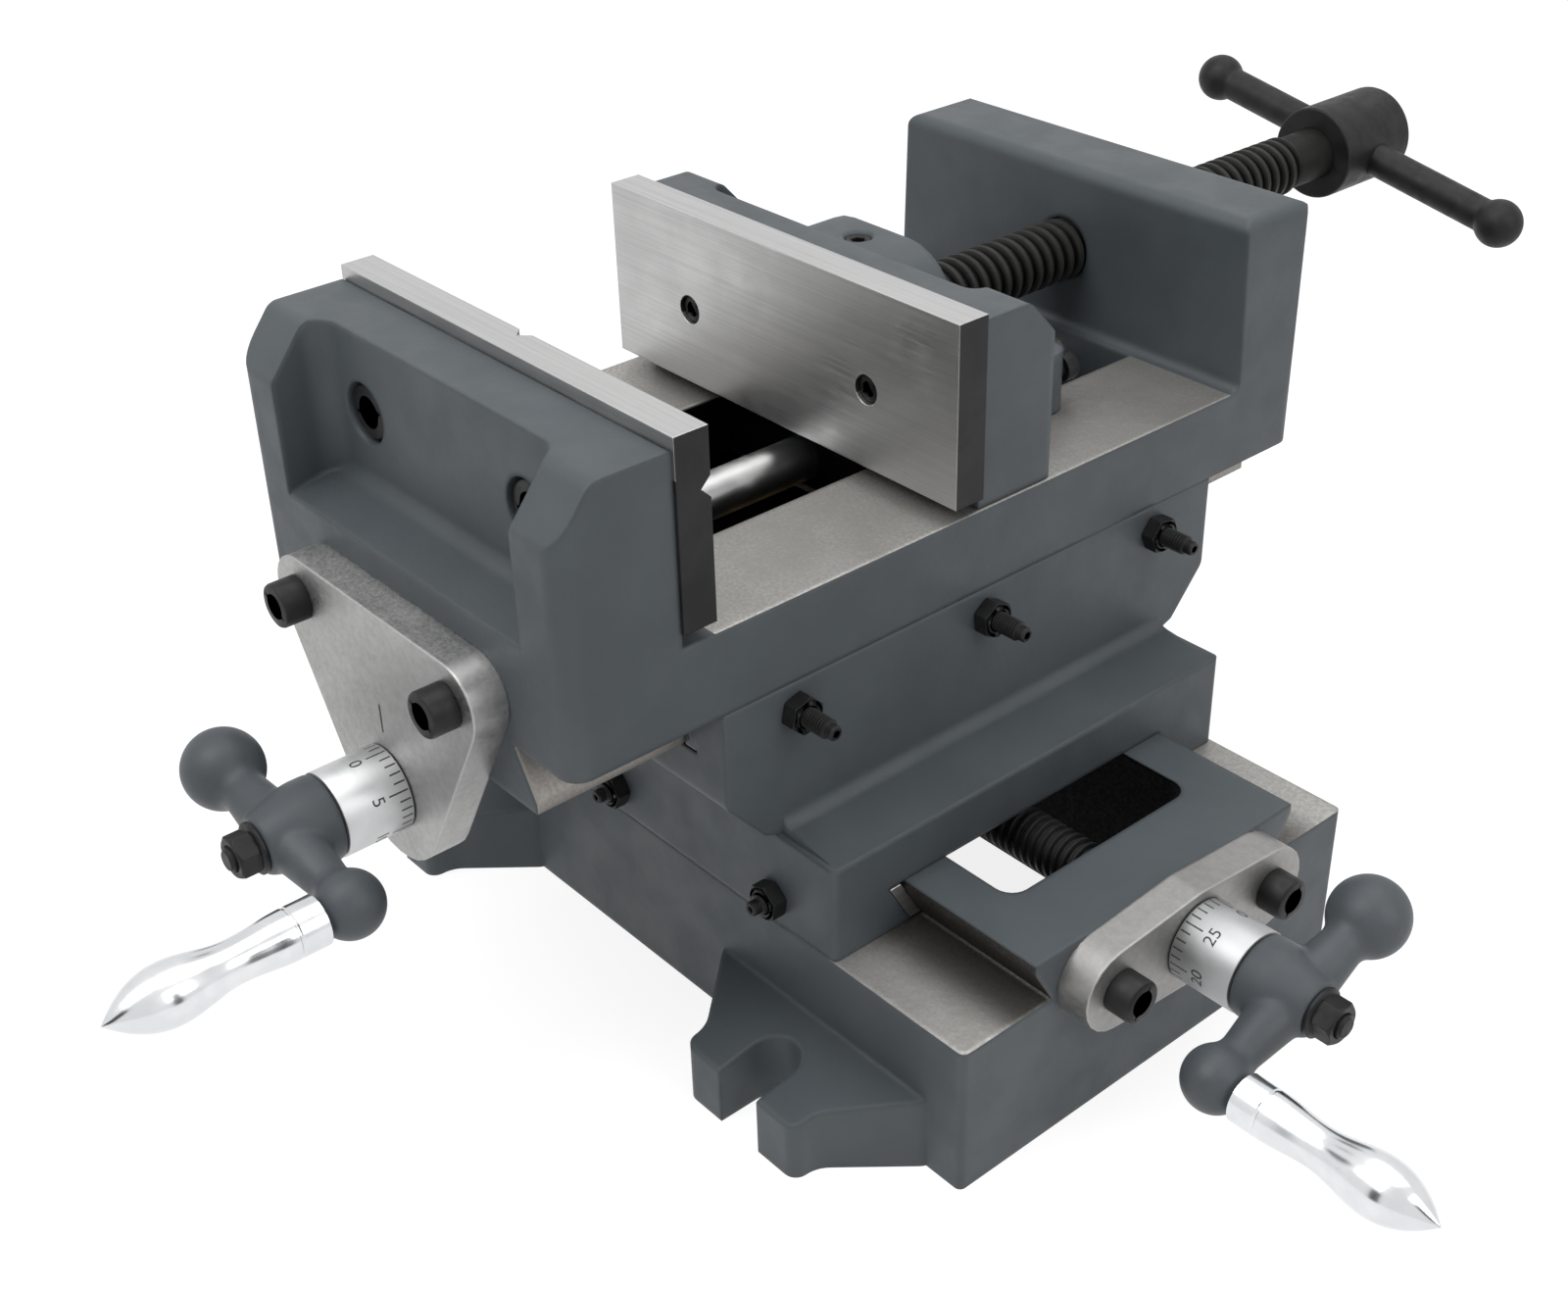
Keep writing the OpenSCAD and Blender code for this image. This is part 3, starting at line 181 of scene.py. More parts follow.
    def faces(self, axis: Axis, least: float, both: bool = False) -> Socket:
        """One where the normal's share along an axis, or either way along it, is more than the least."""
        part = self.split(self.where.outputs["Normal"])[axis.value]
        return self.math("GREATER_THAN", self.math("ABSOLUTE", part) if both else part, least)

    def seen(self) -> Socket:
        """One for rays from the camera and for mirrored ones, zero for the rest."""
        path = self.node("ShaderNodeLightPath").outputs
        return self.math("MAXIMUM", path["Is Camera Ray"], path["Is Glossy Ray"])

    def close(self, **sockets: Any) -> Material:
        """End with the surface shader.

        Args:
            sockets: Inputs of the shader, with _ in place of a space.

        Returns:
            The finished material.
        """
        named = {key.replace("_", " "): (*value, 1.0) if isinstance(value, tuple) else value
                 for key, value in sockets.items()}
        surface = self.node("ShaderNodeBsdfPrincipled", named)
        self.node("ShaderNodeOutputMaterial", {"Surface": surface.outputs[0]})
        return self.block


class Finish:
    """A finish that makes its material once."""

    made: dict["Finish", Material] = {}

    def material(self) -> Material:
        """The material of this finish."""
        return Finish.made.get(self) or Finish.made.setdefault(self, self.brew())

    def brew(self) -> Material:
        """Make the material."""
        raise NotImplementedError


class Look(Enum):
    """Look of bare iron, as two tones, how rough it is and how metallic. Three of the looks are painted shade, darker
    than the iron itself.
    """

    BRIGHT = ((0.33, 0.320, 0.304), (0.47, 0.461, 0.446), 0.42, 0.72)
    # painted shade: the ways darkened beside the slide, where its overhang shades them
    OILED = ((0.100, 0.094, 0.086), (0.150, 0.142, 0.132), 0.40, 0.72)
    BED = ((0.30, 0.290, 0.274), (0.42, 0.410, 0.395), 0.40, 0.72)
    # painted shade: the slide's flanks darkened to stand for the shadow they lie in
    FLANK = ((0.024, 0.022, 0.020), (0.050, 0.046, 0.043), 0.50, 0.5)
    SIDE = ((0.270, 0.254, 0.235), (0.320, 0.303, 0.282), 0.48, 0.50)
    # painted shade: hollows and gaps darkened where little light reaches
    DARK = ((0.0025, 0.0025, 0.0027), (0.0055, 0.0055, 0.0058), 0.75, 1.0)


@dataclass(frozen=True)
class Patch:
    """Part of a piece: a box in millimetres, on both sides of the middle where a reach starts at zero or above."""

    look: Look
    x: Point = (0.0, 500.0)
    y: Point = (0.0, 500.0)
    z: Point = (-5.0, 500.0)
    up_only: bool = False
    fade: float = 0.0

    def mask(self, s: Sheet) -> Socket:
        """Where the patch lies.

        Args:
            s: Material in the making.

        Returns:
            One on the patch and zero elsewhere.
        """
        mask: Any = s.faces(Axis.Z, 0.8) if self.up_only else 1.0
        for axis, value, (low, high) in zip(Axis, s.split(s.coords), (self.x, self.y, self.z)):
            if low >= 0.0 and axis is not Axis.Z:
                value = s.math("ABSOLUTE", value)
            mask = s.math("MULTIPLY", mask, s.math("GREATER_THAN", value, low * MM))
            mask = s.math("MULTIPLY", mask, s.math("LESS_THAN", value, high * MM))
            if self.fade and axis is Axis.Y:
                mask = s.math("MULTIPLY", mask, s.ramp(value, (high - self.fade) * MM, high * MM, 1.0, 0.0))
        return mask


@dataclass(frozen=True)
class CastPaint(Finish):
    """Satin paint on cast iron, with bare machined faces and patches of painted shade where they are named."""

    name: str
    patches: tuple[Patch, ...] = ()
    tone: Triple = (0.058, 0.068, 0.0755)
    pale: Triple = (0.074, 0.086, 0.0945)
    worn: Triple = (0.17, 0.19, 0.20)
    round_edge: float = 0.0022
    shine: float = 0.36

    def brew(self) -> Material:
        """Make the material.

        Returns:
            Paint with a cast skin, edges lightened partly by rubbing and partly by a painted highlight, and patches of
            bare faces and of painted shade.
        """
        s = Sheet(self.name)
        rounded = s.soft_edge(self.round_edge)
        cloud = s.math("MULTIPLY", s.cloud(26.0, 4.0, 0.32, 0.68), 0.62)
        speck = s.math("MULTIPLY", s.cloud(1900.0, 2.0, 0.4, 0.75), 0.22)
        colour = s.mix(s.math("ADD", cloud, speck), self.tone, self.pale)
        thin = s.cloud(210.0, 4.0, 0.45, 0.72, 0.04, 0.16, shift=3.0)
        # Edges lighten: partly paint rubbed thin, partly a painted highlight where light catches the rounded edge.
        colour = s.mix(s.math("MULTIPLY", s.edge(rounded, 0.80, 0.97), thin), colour, self.worn)
        rough = s.cloud(70.0, 3.0, 0.3, 0.7, 0.44, 0.56, shift=1.0)
        metal: Any = 0.0
        mottle = s.cloud(950.0, 5.0, 0.30, 0.72, shift=2.0)
        stain = s.math("MULTIPLY", s.cloud(38.0, 3.0, 0.42, 0.72, shift=7.0), 0.45)
        # Patches lay bare iron on machined faces and painted shade in hollows, corners and on flanks.
        for patch in self.patches:
            bare = patch.mask(s)
            low, high, middle, metallic = patch.look.value
            iron = s.mix(s.math("SUBTRACT", mottle, stain, clamp=True), low, high)
            colour = s.mix(bare, colour, iron)
            rough = s.blend(bare, rough, s.ramp(mottle, 0.0, 1.0, middle + 0.06, middle - 0.06))
            metal = s.blend(bare, metal, metallic)
        skin = s.bump(s.noise(330.0, 3.0), 0.16, 0.0005, rounded)
        normal = s.bump(s.noise(1500.0, 2.0, shift=5.0), 0.14, 0.00012, skin)
        return s.close(Base_Color=colour, Roughness=rough, Metallic=metal, Normal=normal, Specular_IOR_Level=self.shine)


@dataclass(frozen=True)
class GroundSteel(Finish):
    """Ground steel with fine scratches, dark ends where the bar was cut by the saw, and painted shadow on a rim where
    one is given.
    """

    name: str
    grind: Grind = Grind.ALONG_X
    tone: Triple = (0.43, 0.43, 0.428)
    pale: Triple = (0.53, 0.53, 0.528)
    rough: float = 0.40
    cloud: float = 0.3
    dark_ends: bool = False
    rim: Patch | None = None
    round_edge: float = 0.0005
    glint: Triple = (0.75, 0.75, 0.74)
    sawn: tuple[Triple, Triple] = ((0.012, 0.012, 0.0125), (0.020, 0.020, 0.021))

    def brew(self) -> Material:
        """Make the material.

        Returns:
            Steel with scratches and a faint stain.
        """
        s = Sheet(self.name)
        rounded = s.soft_edge(self.round_edge)
        lines = s.noise(1.0, 3.0, self.grind.value)
        fine = s.noise(2.6, 2.0, self.grind.value, shift=4.0)
        stain = s.cloud(48.0, 4.0, 0.35, 0.7)
        part = s.math("ADD", s.math("MULTIPLY", s.ramp(lines, 0.3, 0.7), 0.6), s.math("MULTIPLY", stain, self.cloud))
        colour = s.mix(part, self.tone, self.pale)
        rough = s.math("ADD", s.ramp(fine, 0.3, 0.7, -0.05, 0.05),
                       s.ramp(stain, 0.0, 1.0, self.rough + 0.04, self.rough - 0.04))
        normal = s.bump(s.math("ADD", lines, fine), 0.10, 0.00008, rounded)
        colour = s.mix(s.math("MULTIPLY", s.edge(rounded, 0.85, 0.985), 0.2), colour, self.glint)
        if not self.dark_ends:
            return s.close(Base_Color=colour, Roughness=rough, Metallic=1.0, Normal=normal)
        ends = s.faces(Axis.X, 0.9, both=True)
        # Painted shadow: the rim gets the same dark colour as the cut ends.
        if self.rim:
            ends = s.math("MAXIMUM", ends, self.rim.mask(s))
        colour = s.mix(ends, colour, s.mix(s.cloud(90.0, 4.0, 0.3, 0.7, shift=9.0), *self.sawn))
        return s.close(Base_Color=colour, Roughness=s.blend(ends, rough, 0.5), Metallic=s.blend(ends, 1.0, 0.0),
                       Normal=normal, Specular_IOR_Level=0.24)


@dataclass(frozen=True)
class BlackOxide(Finish):
    """Blackened steel, oiled, with edges that shine a little, a painted sheen over their rubbing. A thread has its axis
    along Y and painted shade in its roots.
    """

    name: str = "black_oxide"
    tone: Triple = (0.007, 0.0071, 0.0074)
    pale: Triple = (0.014, 0.0142, 0.0146)
    worn: Triple = (0.06, 0.06, 0.06)
    grease: Triple = (0.0008, 0.0008, 0.0008)
    rough: float = 0.50
    round_edge: float = 0.0003
    shine: float = 0.26
    thread: Triple | None = None  # height of the axis, radius of the root and of the crest

    def brew(self) -> Material:
        """Make the material.

        Returns:
            Black steel with faint clouds.
        """
        s = Sheet(self.name)
        rounded = s.soft_edge(self.round_edge)
        colour = s.mix(s.cloud(130.0, 4.0, 0.35, 0.7), self.tone, self.pale)
        if self.thread:
            height, root, crest = self.thread
            x, _, z = s.split(s.coords)
            up = s.math("SUBTRACT", z, height * MM)
            far = s.math("SQRT", s.math("ADD", s.math("MULTIPLY", x, x), s.math("MULTIPLY", up, up)))
            # Painted shade: the thread's roots darkened by their distance from the axis, where the flanks shade them.
            colour = s.mix(s.ramp(far, root * MM, crest * MM), self.grease, colour)
        # Edges lighten: partly rubbed steel, partly a painted sheen where light catches the edge.
        edge_sheen_and_wear = s.math("MULTIPLY", s.edge(rounded, 0.80, 0.98), s.cloud(420.0, 3.0, 0.4, 0.7, shift=2.0))
        colour = s.mix(s.math("MULTIPLY", edge_sheen_and_wear, 0.5), colour, self.worn)
        rough = s.cloud(260.0, 3.0, 0.3, 0.7, self.rough - 0.07, self.rough + 0.08, shift=6.0)
        normal = s.bump(s.noise(2400.0, 2.0), 0.10, 0.00006, rounded)
        return s.close(Base_Color=colour, Roughness=rough, Metallic=0.0, Normal=normal, Specular_IOR_Level=self.shine)


@dataclass(frozen=True)
class Polish(Finish):
    """Bright metal: chrome plate, a polished rod or a satin dial."""

    name: str
    tone: Triple
    pale: Triple
    rough: Point
    turned: Axis | None = None

    def brew(self) -> Material:
        """Make the material.

        Returns:
            Bright metal with faint haze and, where it was turned, fine rings.
        """
        s = Sheet(self.name)
        haze = s.cloud(75.0, 4.0, 0.35, 0.7)
        colour = s.mix(haze, self.tone, self.pale)
        if self.turned is None:
            normal = s.bump(s.noise(160.0, 3.0), 0.03, 0.0001)
        else:
            stretch = [60.0, 60.0, 60.0]
            stretch[self.turned.value] = 4200.0
            rings = s.noise(1.0, 2.0, stretch)
            colour = s.mix(s.ramp(rings, 0.3, 0.7, 0.0, 0.35), colour, self.tone)
            normal = s.bump(rings, 0.08, 0.00005)
        return s.close(Base_Color=colour, Roughness=s.ramp(haze, 0.0, 1.0, *self.rough), Metallic=1.0, Normal=normal)


@dataclass(frozen=True)
class DialInk(Finish):
    """Black filling of the engraved lines and numbers."""

    tone: Triple = (0.010, 0.010, 0.011)
    pale: Triple = (0.045, 0.045, 0.048)

    def brew(self) -> Material:
        """Dull black with a little unevenness."""
        s = Sheet("dial_ink")
        return s.close(Base_Color=s.mix(s.cloud(1600.0, 3.0, 0.35, 0.75), self.tone, self.pale), Roughness=0.6)


@dataclass(frozen=True)
class CastBronze(Finish):
    """Bronze of the two lead screw nuts."""

    tone: Triple = (0.30, 0.18, 0.06)
    pale: Triple = (0.50, 0.33, 0.12)

    def brew(self) -> Material:
        """Make the material.

        Returns:
            Dull bronze with darker clouds.
        """
        s = Sheet("cast_bronze")
        cloud = s.cloud(120.0, 4.0, 0.3, 0.7)
        normal = s.bump(s.noise(900.0, 3.0), 0.2, 0.0001, s.soft_edge(0.0005))
        return s.close(Base_Color=s.mix(cloud, self.tone, self.pale), Roughness=s.ramp(cloud, 0.0, 1.0, 0.5, 0.36),
                       Metallic=1.0, Normal=normal)


# Painted shade: the saddle's inside and the jaw's keel in the slot are darkened where little light reaches.
SADDLE_PAINT = CastPaint("saddle_paint", (Patch(Look.DARK, x=(0.0, 56.0), y=(0.0, 78.0), z=(66.0, 112.0)),))
SLIDE_PAINT = CastPaint("jaw_paint", (Patch(Look.DARK, x=(0.0, 34.0), z=(120.0, 152.6)),))
CRANK_PAINT = CastPaint("crank_paint", tone=(0.056, 0.064, 0.072), pale=(0.072, 0.082, 0.091), round_edge=0.0008)
PLATE_STEEL = GroundSteel("jaw_plate_steel", dark_ends=True)
# The lower plate's tone is set darker than the upper plate's: painted shade on the same lapped steel, against the light
# that falls on the X side.
LOWER_PLATE_STEEL = GroundSteel("lower_plate_steel", Grind.LAPPED, (0.295, 0.290, 0.284), (0.355, 0.350, 0.344),
                                rough=0.48, cloud=0.12, round_edge=0.0010)
UPPER_PLATE_STEEL = GroundSteel("upper_plate_steel", Grind.LAPPED, (0.345, 0.343, 0.340), (0.42, 0.418, 0.414),
                                rough=0.46, cloud=0.12, round_edge=0.0010)
GIB_STEEL = GroundSteel("gib_steel", Grind.ALONG_Y, (0.60, 0.60, 0.595), (0.72, 0.72, 0.715))
BLUED_STEEL = GroundSteel("blued_steel", Grind.ALONG_Y, (0.070, 0.077, 0.082), (0.090, 0.097, 0.102))
OXIDE = BlackOxide()
SCREW_OXIDE = BlackOxide("screw_oxide", rough=0.46)
THREAD_OXIDE = BlackOxide("thread_oxide", (0.024, 0.0236, 0.0225), (0.032, 0.0315, 0.030), shine=0.12,
                          thread=(178.5, 8.3, 9.8))
CHROME = Polish("mirror_chrome", (0.66, 0.672, 0.69), (0.76, 0.768, 0.785), (0.16, 0.20))
ROD = Polish("polished_rod", (0.55, 0.55, 0.55), (0.70, 0.70, 0.695), (0.30, 0.40), Axis.Y)
# The X dial's tone is set darker than the Y dial's: painted shade on the same satin steel, against the light that falls
# on the X side.
DIAL_X = Polish("satin_dial_x", (0.40, 0.404, 0.408), (0.48, 0.484, 0.488), (0.48, 0.54), Axis.X)
DIAL_Y = Polish("satin_dial_y", (0.56, 0.565, 0.57), (0.66, 0.665, 0.67), (0.44, 0.50), Axis.Y)
INK = DialInk()
BRONZE = CastBronze()


def turn(axis: Axis, degrees: float) -> Matrix:
    """Rotation about an axis."""
    return Matrix.Rotation(math.radians(degrees), 4, axis.name)


def move(x: float, y: float, z: float) -> Matrix:
    """Shift by three distances."""
    return Matrix.Translation((x, y, z))


TO_X = turn(Axis.Y, 90.0)  # these turn +Z to +X, to the front at -Y and to the back at +Y
TO_FRONT = turn(Axis.X, 90.0)
TO_BACK = turn(Axis.X, -90.0)


def settle(bm: BMesh, name: str) -> Mesh:
    """Close a mesh.

    Args:
        bm: Mesh in the making; it is freed.
        name: Name of the mesh.

    Returns:
        The closed mesh.
    """
    mesh = bpy.data.meshes.new(name)
    bm.to_mesh(mesh)
    bm.free()
    return mesh


def stand(name: str, data: Any) -> Object:
    """Put a new object into the scene.

    Args:
        name: Name of the object.
        data: What it shows.

    Returns:
        The object.
    """
    made = bpy.data.objects.new(name, data)
    bpy.context.scene.collection.objects.link(made)
    return made


def everything(bm: BMesh) -> list[Any]:
    """All points, edges and faces of a mesh."""
    return bm.verts[:] + bm.edges[:] + bm.faces[:]


class Shape:
    """One mesh while it is shaped, in millimetres, with +Z as the axis of turned pieces."""

    def __init__(self) -> None:
        """Start an empty mesh."""
        self.bm = bmesh.new()

    def add(self, part: BMesh, at: Matrix | None = None, material: int = 0) -> "Shape":
        """Take another mesh in.

        Args:
            part: Mesh to take in; it is freed.
            at: Where it goes.
            material: Number of its finish.

        Returns:
            This shape.
        """
        if at is not None:
            bmesh.ops.transform(part, matrix=at, verts=part.verts)
        for face in part.faces:
            face.material_index = material
        mesh = settle(part, "part")
        self.bm.from_mesh(mesh)
        bpy.data.meshes.remove(mesh)
        return self

    def mesh(self, name: str, sharp: float) -> Mesh:
        """Close the shape.

        Args:
            name: Name of the mesh.
            sharp: Angle in degrees past which an edge stays sharp.

        Returns:
            The mesh in metres.
        """
        bmesh.ops.scale(self.bm, vec=(MM, MM, MM), verts=self.bm.verts)
        limit = math.radians(sharp)
        for face in self.bm.faces:
            face.smooth = True
        for edge in self.bm.edges:
            edge.smooth = len(edge.link_faces) == 2 and edge.calc_face_angle(0.0) < limit
        return settle(self.bm, name)


def clean(bm: BMesh) -> BMesh:
    """Merge doubles and turn the faces outward.

    Args:
        bm: Mesh to clean.

    Returns:
        The same mesh.
    """
    bmesh.ops.remove_doubles(bm, verts=bm.verts, dist=WELD)
    bmesh.ops.dissolve_degenerate(bm, edges=bm.edges, dist=WELD)
    bmesh.ops.recalc_face_normals(bm, faces=bm.faces)
    return bm


def spun(profile: Iterable[Point], steps: int, merge: bool, rise: float = 0.0) -> BMesh:
    """Spin a profile once about +Z.

    Args:
        profile: Points as radius and height.
        steps: Number of facets round the axis.
        merge: Whether the end meets the start.
        rise: Climb in each step.

    Returns:
        The spun mesh.
    """
    bm = bmesh.new()
    points = [bm.verts.new((r, 0.0, z)) for r, z in profile]
    lines = [bm.edges.new(pair) for pair in zip(points, points[1:])]
    bmesh.ops.spin(bm, geom=points + lines, cent=(0, 0, 0), axis=(0, 0, 1), dvec=(0, 0, rise), angle=math.tau,
                   steps=steps, use_merge=merge)
    return bm


def turned(profile: Sequence[Point], steps: int = 64) -> BMesh:
    """Profile of radii and heights, turned about +Z."""
    return clean(spun(profile, steps, True))


def arc(centre: Point, radius: float, start: float, end: float, count: int) -> list[Point]:
    """Points of a profile on an arc, from one angle in degrees to another, in a count of pieces."""
    angles = [math.radians(start + (end - start) * i / count) for i in range(count + 1)]
    return [(max(centre[0] + radius * math.cos(a), 0.0), centre[1] + radius * math.sin(a)) for a in angles]


def ball_end(neck: float, ball: float, fillet: float, at: float, cuts: tuple[int, int]) -> list[Point]:
    """Profile of a ball grown onto a neck.

    Args:
        neck: Radius of the neck.
        ball: Radius of the ball.
        fillet: Radius between the two.
        at: Height of the ball's middle.
        cuts: Number of pieces of the fillet and of the ball.

    Returns:
        The points from the neck to the ball's top.
    """
    low = at - math.sqrt((ball + fillet) ** 2 - (neck + fillet) ** 2)
    lean = math.degrees(math.atan2(at - low, -neck - fillet))
    hollow = arc((neck + fillet, low), fillet, 180.0, lean, cuts[0])
    return hollow + arc((0.0, at), ball, lean - 180.0, 90.0, cuts[1])[1:]


def threaded(radius: float, depth: float, pitch: float, length: float, steps: int) -> BMesh:
    """Right-handed trapezoid thread along +Z from z = 0.

    Args:
        radius: Radius at the crest.
        depth: Depth of the thread.
        pitch: Distance between crests.
        length: Length of the thread.
        steps: Facets in each turn.

    Returns:
        A closed threaded rod.
    """
    root = radius - depth
    form = [(root, 0.0), (root, 0.16), (radius, 0.34), (radius, 0.66), (root, 0.84), (root, 1.0)]
    bm = spun([(r, (part - 2.0) * pitch) for r, part in form], steps, False, pitch / steps)
    turns = 1
    while turns < length / pitch + 3:
        twin = bmesh.ops.duplicate(bm, geom=everything(bm))["geom"]
        bmesh.ops.translate(bm, vec=(0, 0, turns * pitch), verts=[v for v in twin if isinstance(v, BMVert)])
        turns *= 2
    bmesh.ops.delete(bm, geom=[v for v in bm.verts if v.co.z > length + 3 * pitch], context="VERTS")
    bmesh.ops.remove_doubles(bm, verts=bm.verts, dist=1e-3)
    for height, way in ((0.0, -1), (length, 1)):
        bmesh.ops.bisect_plane(bm, geom=everything(bm), dist=1e-5, plane_co=(0, 0, height), plane_no=(0, 0, way),
                               clear_outer=True)
        rim = [e for e in bm.edges if len(e.link_faces) == 1 and all(abs(v.co.z - height) < 1e-3 for v in e.verts)]
        bmesh.ops.holes_fill(bm, edges=rim, sides=0)
    bmesh.ops.recalc_face_normals(bm, faces=bm.faces)
    return bm


def ring_of(radius: float, height: float, sides: int = ROUND) -> BMesh:
    """Closed ring of edges with many points on a polygon.

    Args:
        radius: Radius at the polygon's corners.
        height: Height of the ring.
        sides: Number of sides.

    Returns:
        The ring.
    """
    bm = bmesh.new()
    bmesh.ops.create_circle(bm, segments=sides, radius=radius)
    if sides < ROUND:
        bmesh.ops.subdivide_edges(bm, edges=bm.edges, cuts=ROUND // sides - 1)
    bmesh.ops.translate(bm, vec=(0, 0, height), verts=bm.verts)
    return bm


def lofted(rings: Iterable[tuple], closed: bool = True) -> BMesh:
    """Skin rings that follow each other.

    Args:
        rings: Radius and height of each ring, and its sides where it isn't round.
        closed: Whether the first and the last ring are filled.

    Returns:
        The skinned mesh.
    """
    whole = Shape()
    for ring in rings:
        whole.add(ring_of(*ring))
    bm = whole.bm
    bm.edges.ensure_lookup_table()
    loops = [bm.edges[i:i + ROUND] for i in range(0, len(bm.edges), ROUND)]
    for a, b in zip(loops, loops[1:]):
        bmesh.ops.bridge_loops(bm, edges=list(a) + list(b))
    for loop in (loops[0], loops[-1]) if closed else ():
        bmesh.ops.contextual_create(bm, geom=list(loop))
    return clean(bm)


def cap_screw(shank: float, head: float, tall: float, length: float) -> BMesh:
    """Socket head cap screw along +Z with its seat at z = 0."""
    key, floor = shank * 0.86, tall * 0.55
    return lofted([(shank - 0.5, -length), (shank, -length + 0.6), (shank, 0.0), (head - 0.25, 0.0), (head, 0.25),
                   (head, tall - 0.9), (head - 0.28, tall - 0.27), (head - 0.9, tall), (key * 1.1, tall),
                   (key * 1.04, tall - 0.25, HEX), (key, tall - 0.4, HEX), (key, floor, HEX), (key * 0.3, floor - 0.8)])


def hex_nut(corner: float, tall: float, bore: float, crown: float = 0.58) -> BMesh:
    """Chamfered six-sided nut along +Z from z = 0.

    Args:
        corner: Radius at the corners.
        tall: Height of the nut.
        bore: Radius of the hole.
        crown: Drop of the corners as a share of what stands past the flats.

    Returns:
        The nut.
    """
    flat = corner * math.cos(math.pi / HEX) * 0.97
    bm = lofted([(bore, 0.4), (flat, 0.0), (corner, 0.0, HEX), (corner, tall, HEX), (flat, tall), (bore + 0.4, tall),
                 (bore, tall - 0.5)], closed=False)
    for vert in bm.verts:
        over = max(vert.co.xy.length - flat, 0.0) * crown
        if vert.co.z > tall - 0.01:
            vert.co.z -= over
        elif vert.co.z < 0.01:
            vert.co.z += over * 0.6
    return clean(bm)


def set_screw(radius: float, length: float, tip: float = 0.0) -> BMesh:
    """Socket set screw along +Z with its top at z = 0.

    Args:
        radius: Radius of the screw.
        length: Length of the threaded part.
        tip: Radius of a dog point, 1.6 times as long, or zero for a cup.

    Returns:
        The screw.
    """
    key = radius * 0.56
    end = -length - 1.6 * tip
    point = [(tip - 0.3, end), (tip, end + 0.3), (tip, -length)] if tip else []
    return lofted(point + [(radius * 0.6, -length), (radius, -length + 1.0), (radius, -0.35), (radius - 0.35, 0.0),
                           (key * 1.2, 0.0), (key, -0.4, HEX), (key, -2.6, HEX), (key * 0.3, -3.1)])


def block(size: Triple, bevel: float, segments: int) -> BMesh:
    """Small block about the origin.

    Args:
        size: Size along X, Y and Z.
        bevel: Width of its bevels.
        segments: Number of pieces of each bevel.

    Returns:
        The block.
    """
    bm = bmesh.new()
    bmesh.ops.create_cube(bm, size=1.0)
    bmesh.ops.scale(bm, vec=size, verts=bm.verts)
    bmesh.ops.bevel(bm, geom=bm.edges[:], offset=bevel, affect="EDGES", segments=segments, profile=0.5, material=-1)
    return bm


def numeral(text: str, size: float) -> BMesh:
    """Flat number, centred, a little thick.

    Args:
        text: Digits.
        size: Height of the letter body in millimetres.

    Returns:
        The number in the XY plane, cut into strips so that it can be bent.
    """
    curve = bpy.data.curves.new("digits", "FONT")
    curve.body = text
    curve.size = size
    curve.align_x = curve.align_y = "CENTER"
    curve.extrude = 0.06
    holder = stand("digits", curve)
    mesh = bpy.data.meshes.new_from_object(holder.evaluated_get(bpy.context.evaluated_depsgraph_get()))
    bm = bmesh.new()
    bm.from_mesh(mesh)
    bpy.data.objects.remove(holder)
    bpy.data.curves.remove(curve)
    bpy.data.meshes.remove(mesh)
    bmesh.ops.remove_doubles(bm, verts=bm.verts, dist=WELD)
    for i in range(-8, 9):
        bmesh.ops.bisect_plane(bm, geom=everything(bm), plane_co=(i * 0.5, 0, 0), plane_no=(1, 0, 0))
    return bm


def wrap(bm: BMesh, radius: float, degrees: float, height: float) -> BMesh:
    """Lay a flat mesh on a cylinder about +Z.

    Args:
        bm: Mesh with +X as the reading direction and +Z outward.
        radius: Radius of the cylinder.
        degrees: Angle of the mesh's own middle.
        height: Height of the mesh's own middle.

    Returns:
        The same mesh.
    """
    for vert in bm.verts:
        angle = math.radians(degrees) + vert.co.x / radius
        far = radius + vert.co.z
        vert.co = (far * math.cos(angle), far * math.sin(angle), height + vert.co.y)
    return bm


def place(name: str, shape: Shape, body: str, finishes: Sequence[Finish], nodes: Sequence[str] = (),
          sharp: float = 32.0) -> None:
    """Make a piece of the vise from a shape.

    Args:
        name: Name of the piece.
        shape: Shape in millimetres, in the vise's own frame.
        body: Body that it rides on.
        finishes: Finishes in the order of the shape's material numbers.
        nodes: Solids that it stands for.
        sharp: Angle in degrees past which an edge stays sharp.
    """
    mesh = shape.mesh(name, sharp)
    for finish in finishes:
        mesh.materials.append(finish.material())
    piece = stand(name, mesh)
    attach(piece, body)
    if nodes:
        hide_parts(*nodes)
    LOG.info("%s on %s: %d faces", name, body, len(mesh.polygons))


def screw_pair(name: str, body: str, node: str, screw: Screw, at: Triple, lean: Matrix,
               across: Axis = Axis.X) -> None:
    """Build two like cap screws, one on each side of the middle.

    Args:
        name: Name of the piece.
        body: Body that they ride on.
        node: Solids that they stand for.
        screw: Sizes of the cap screw.
        at: Place of the seat of the second one.
        lean: Direction of both.
        across: Axis along which they lie apart.
    """
    shape = Shape()
    for side in (-1, 1):
        spot = [side * value if i == across.value else value for i, value in enumerate(at)]
        shape.add(cap_screw(*screw), move(*spot) @ lean)
    place(name, shape, body, [SCREW_OXIDE], [node])


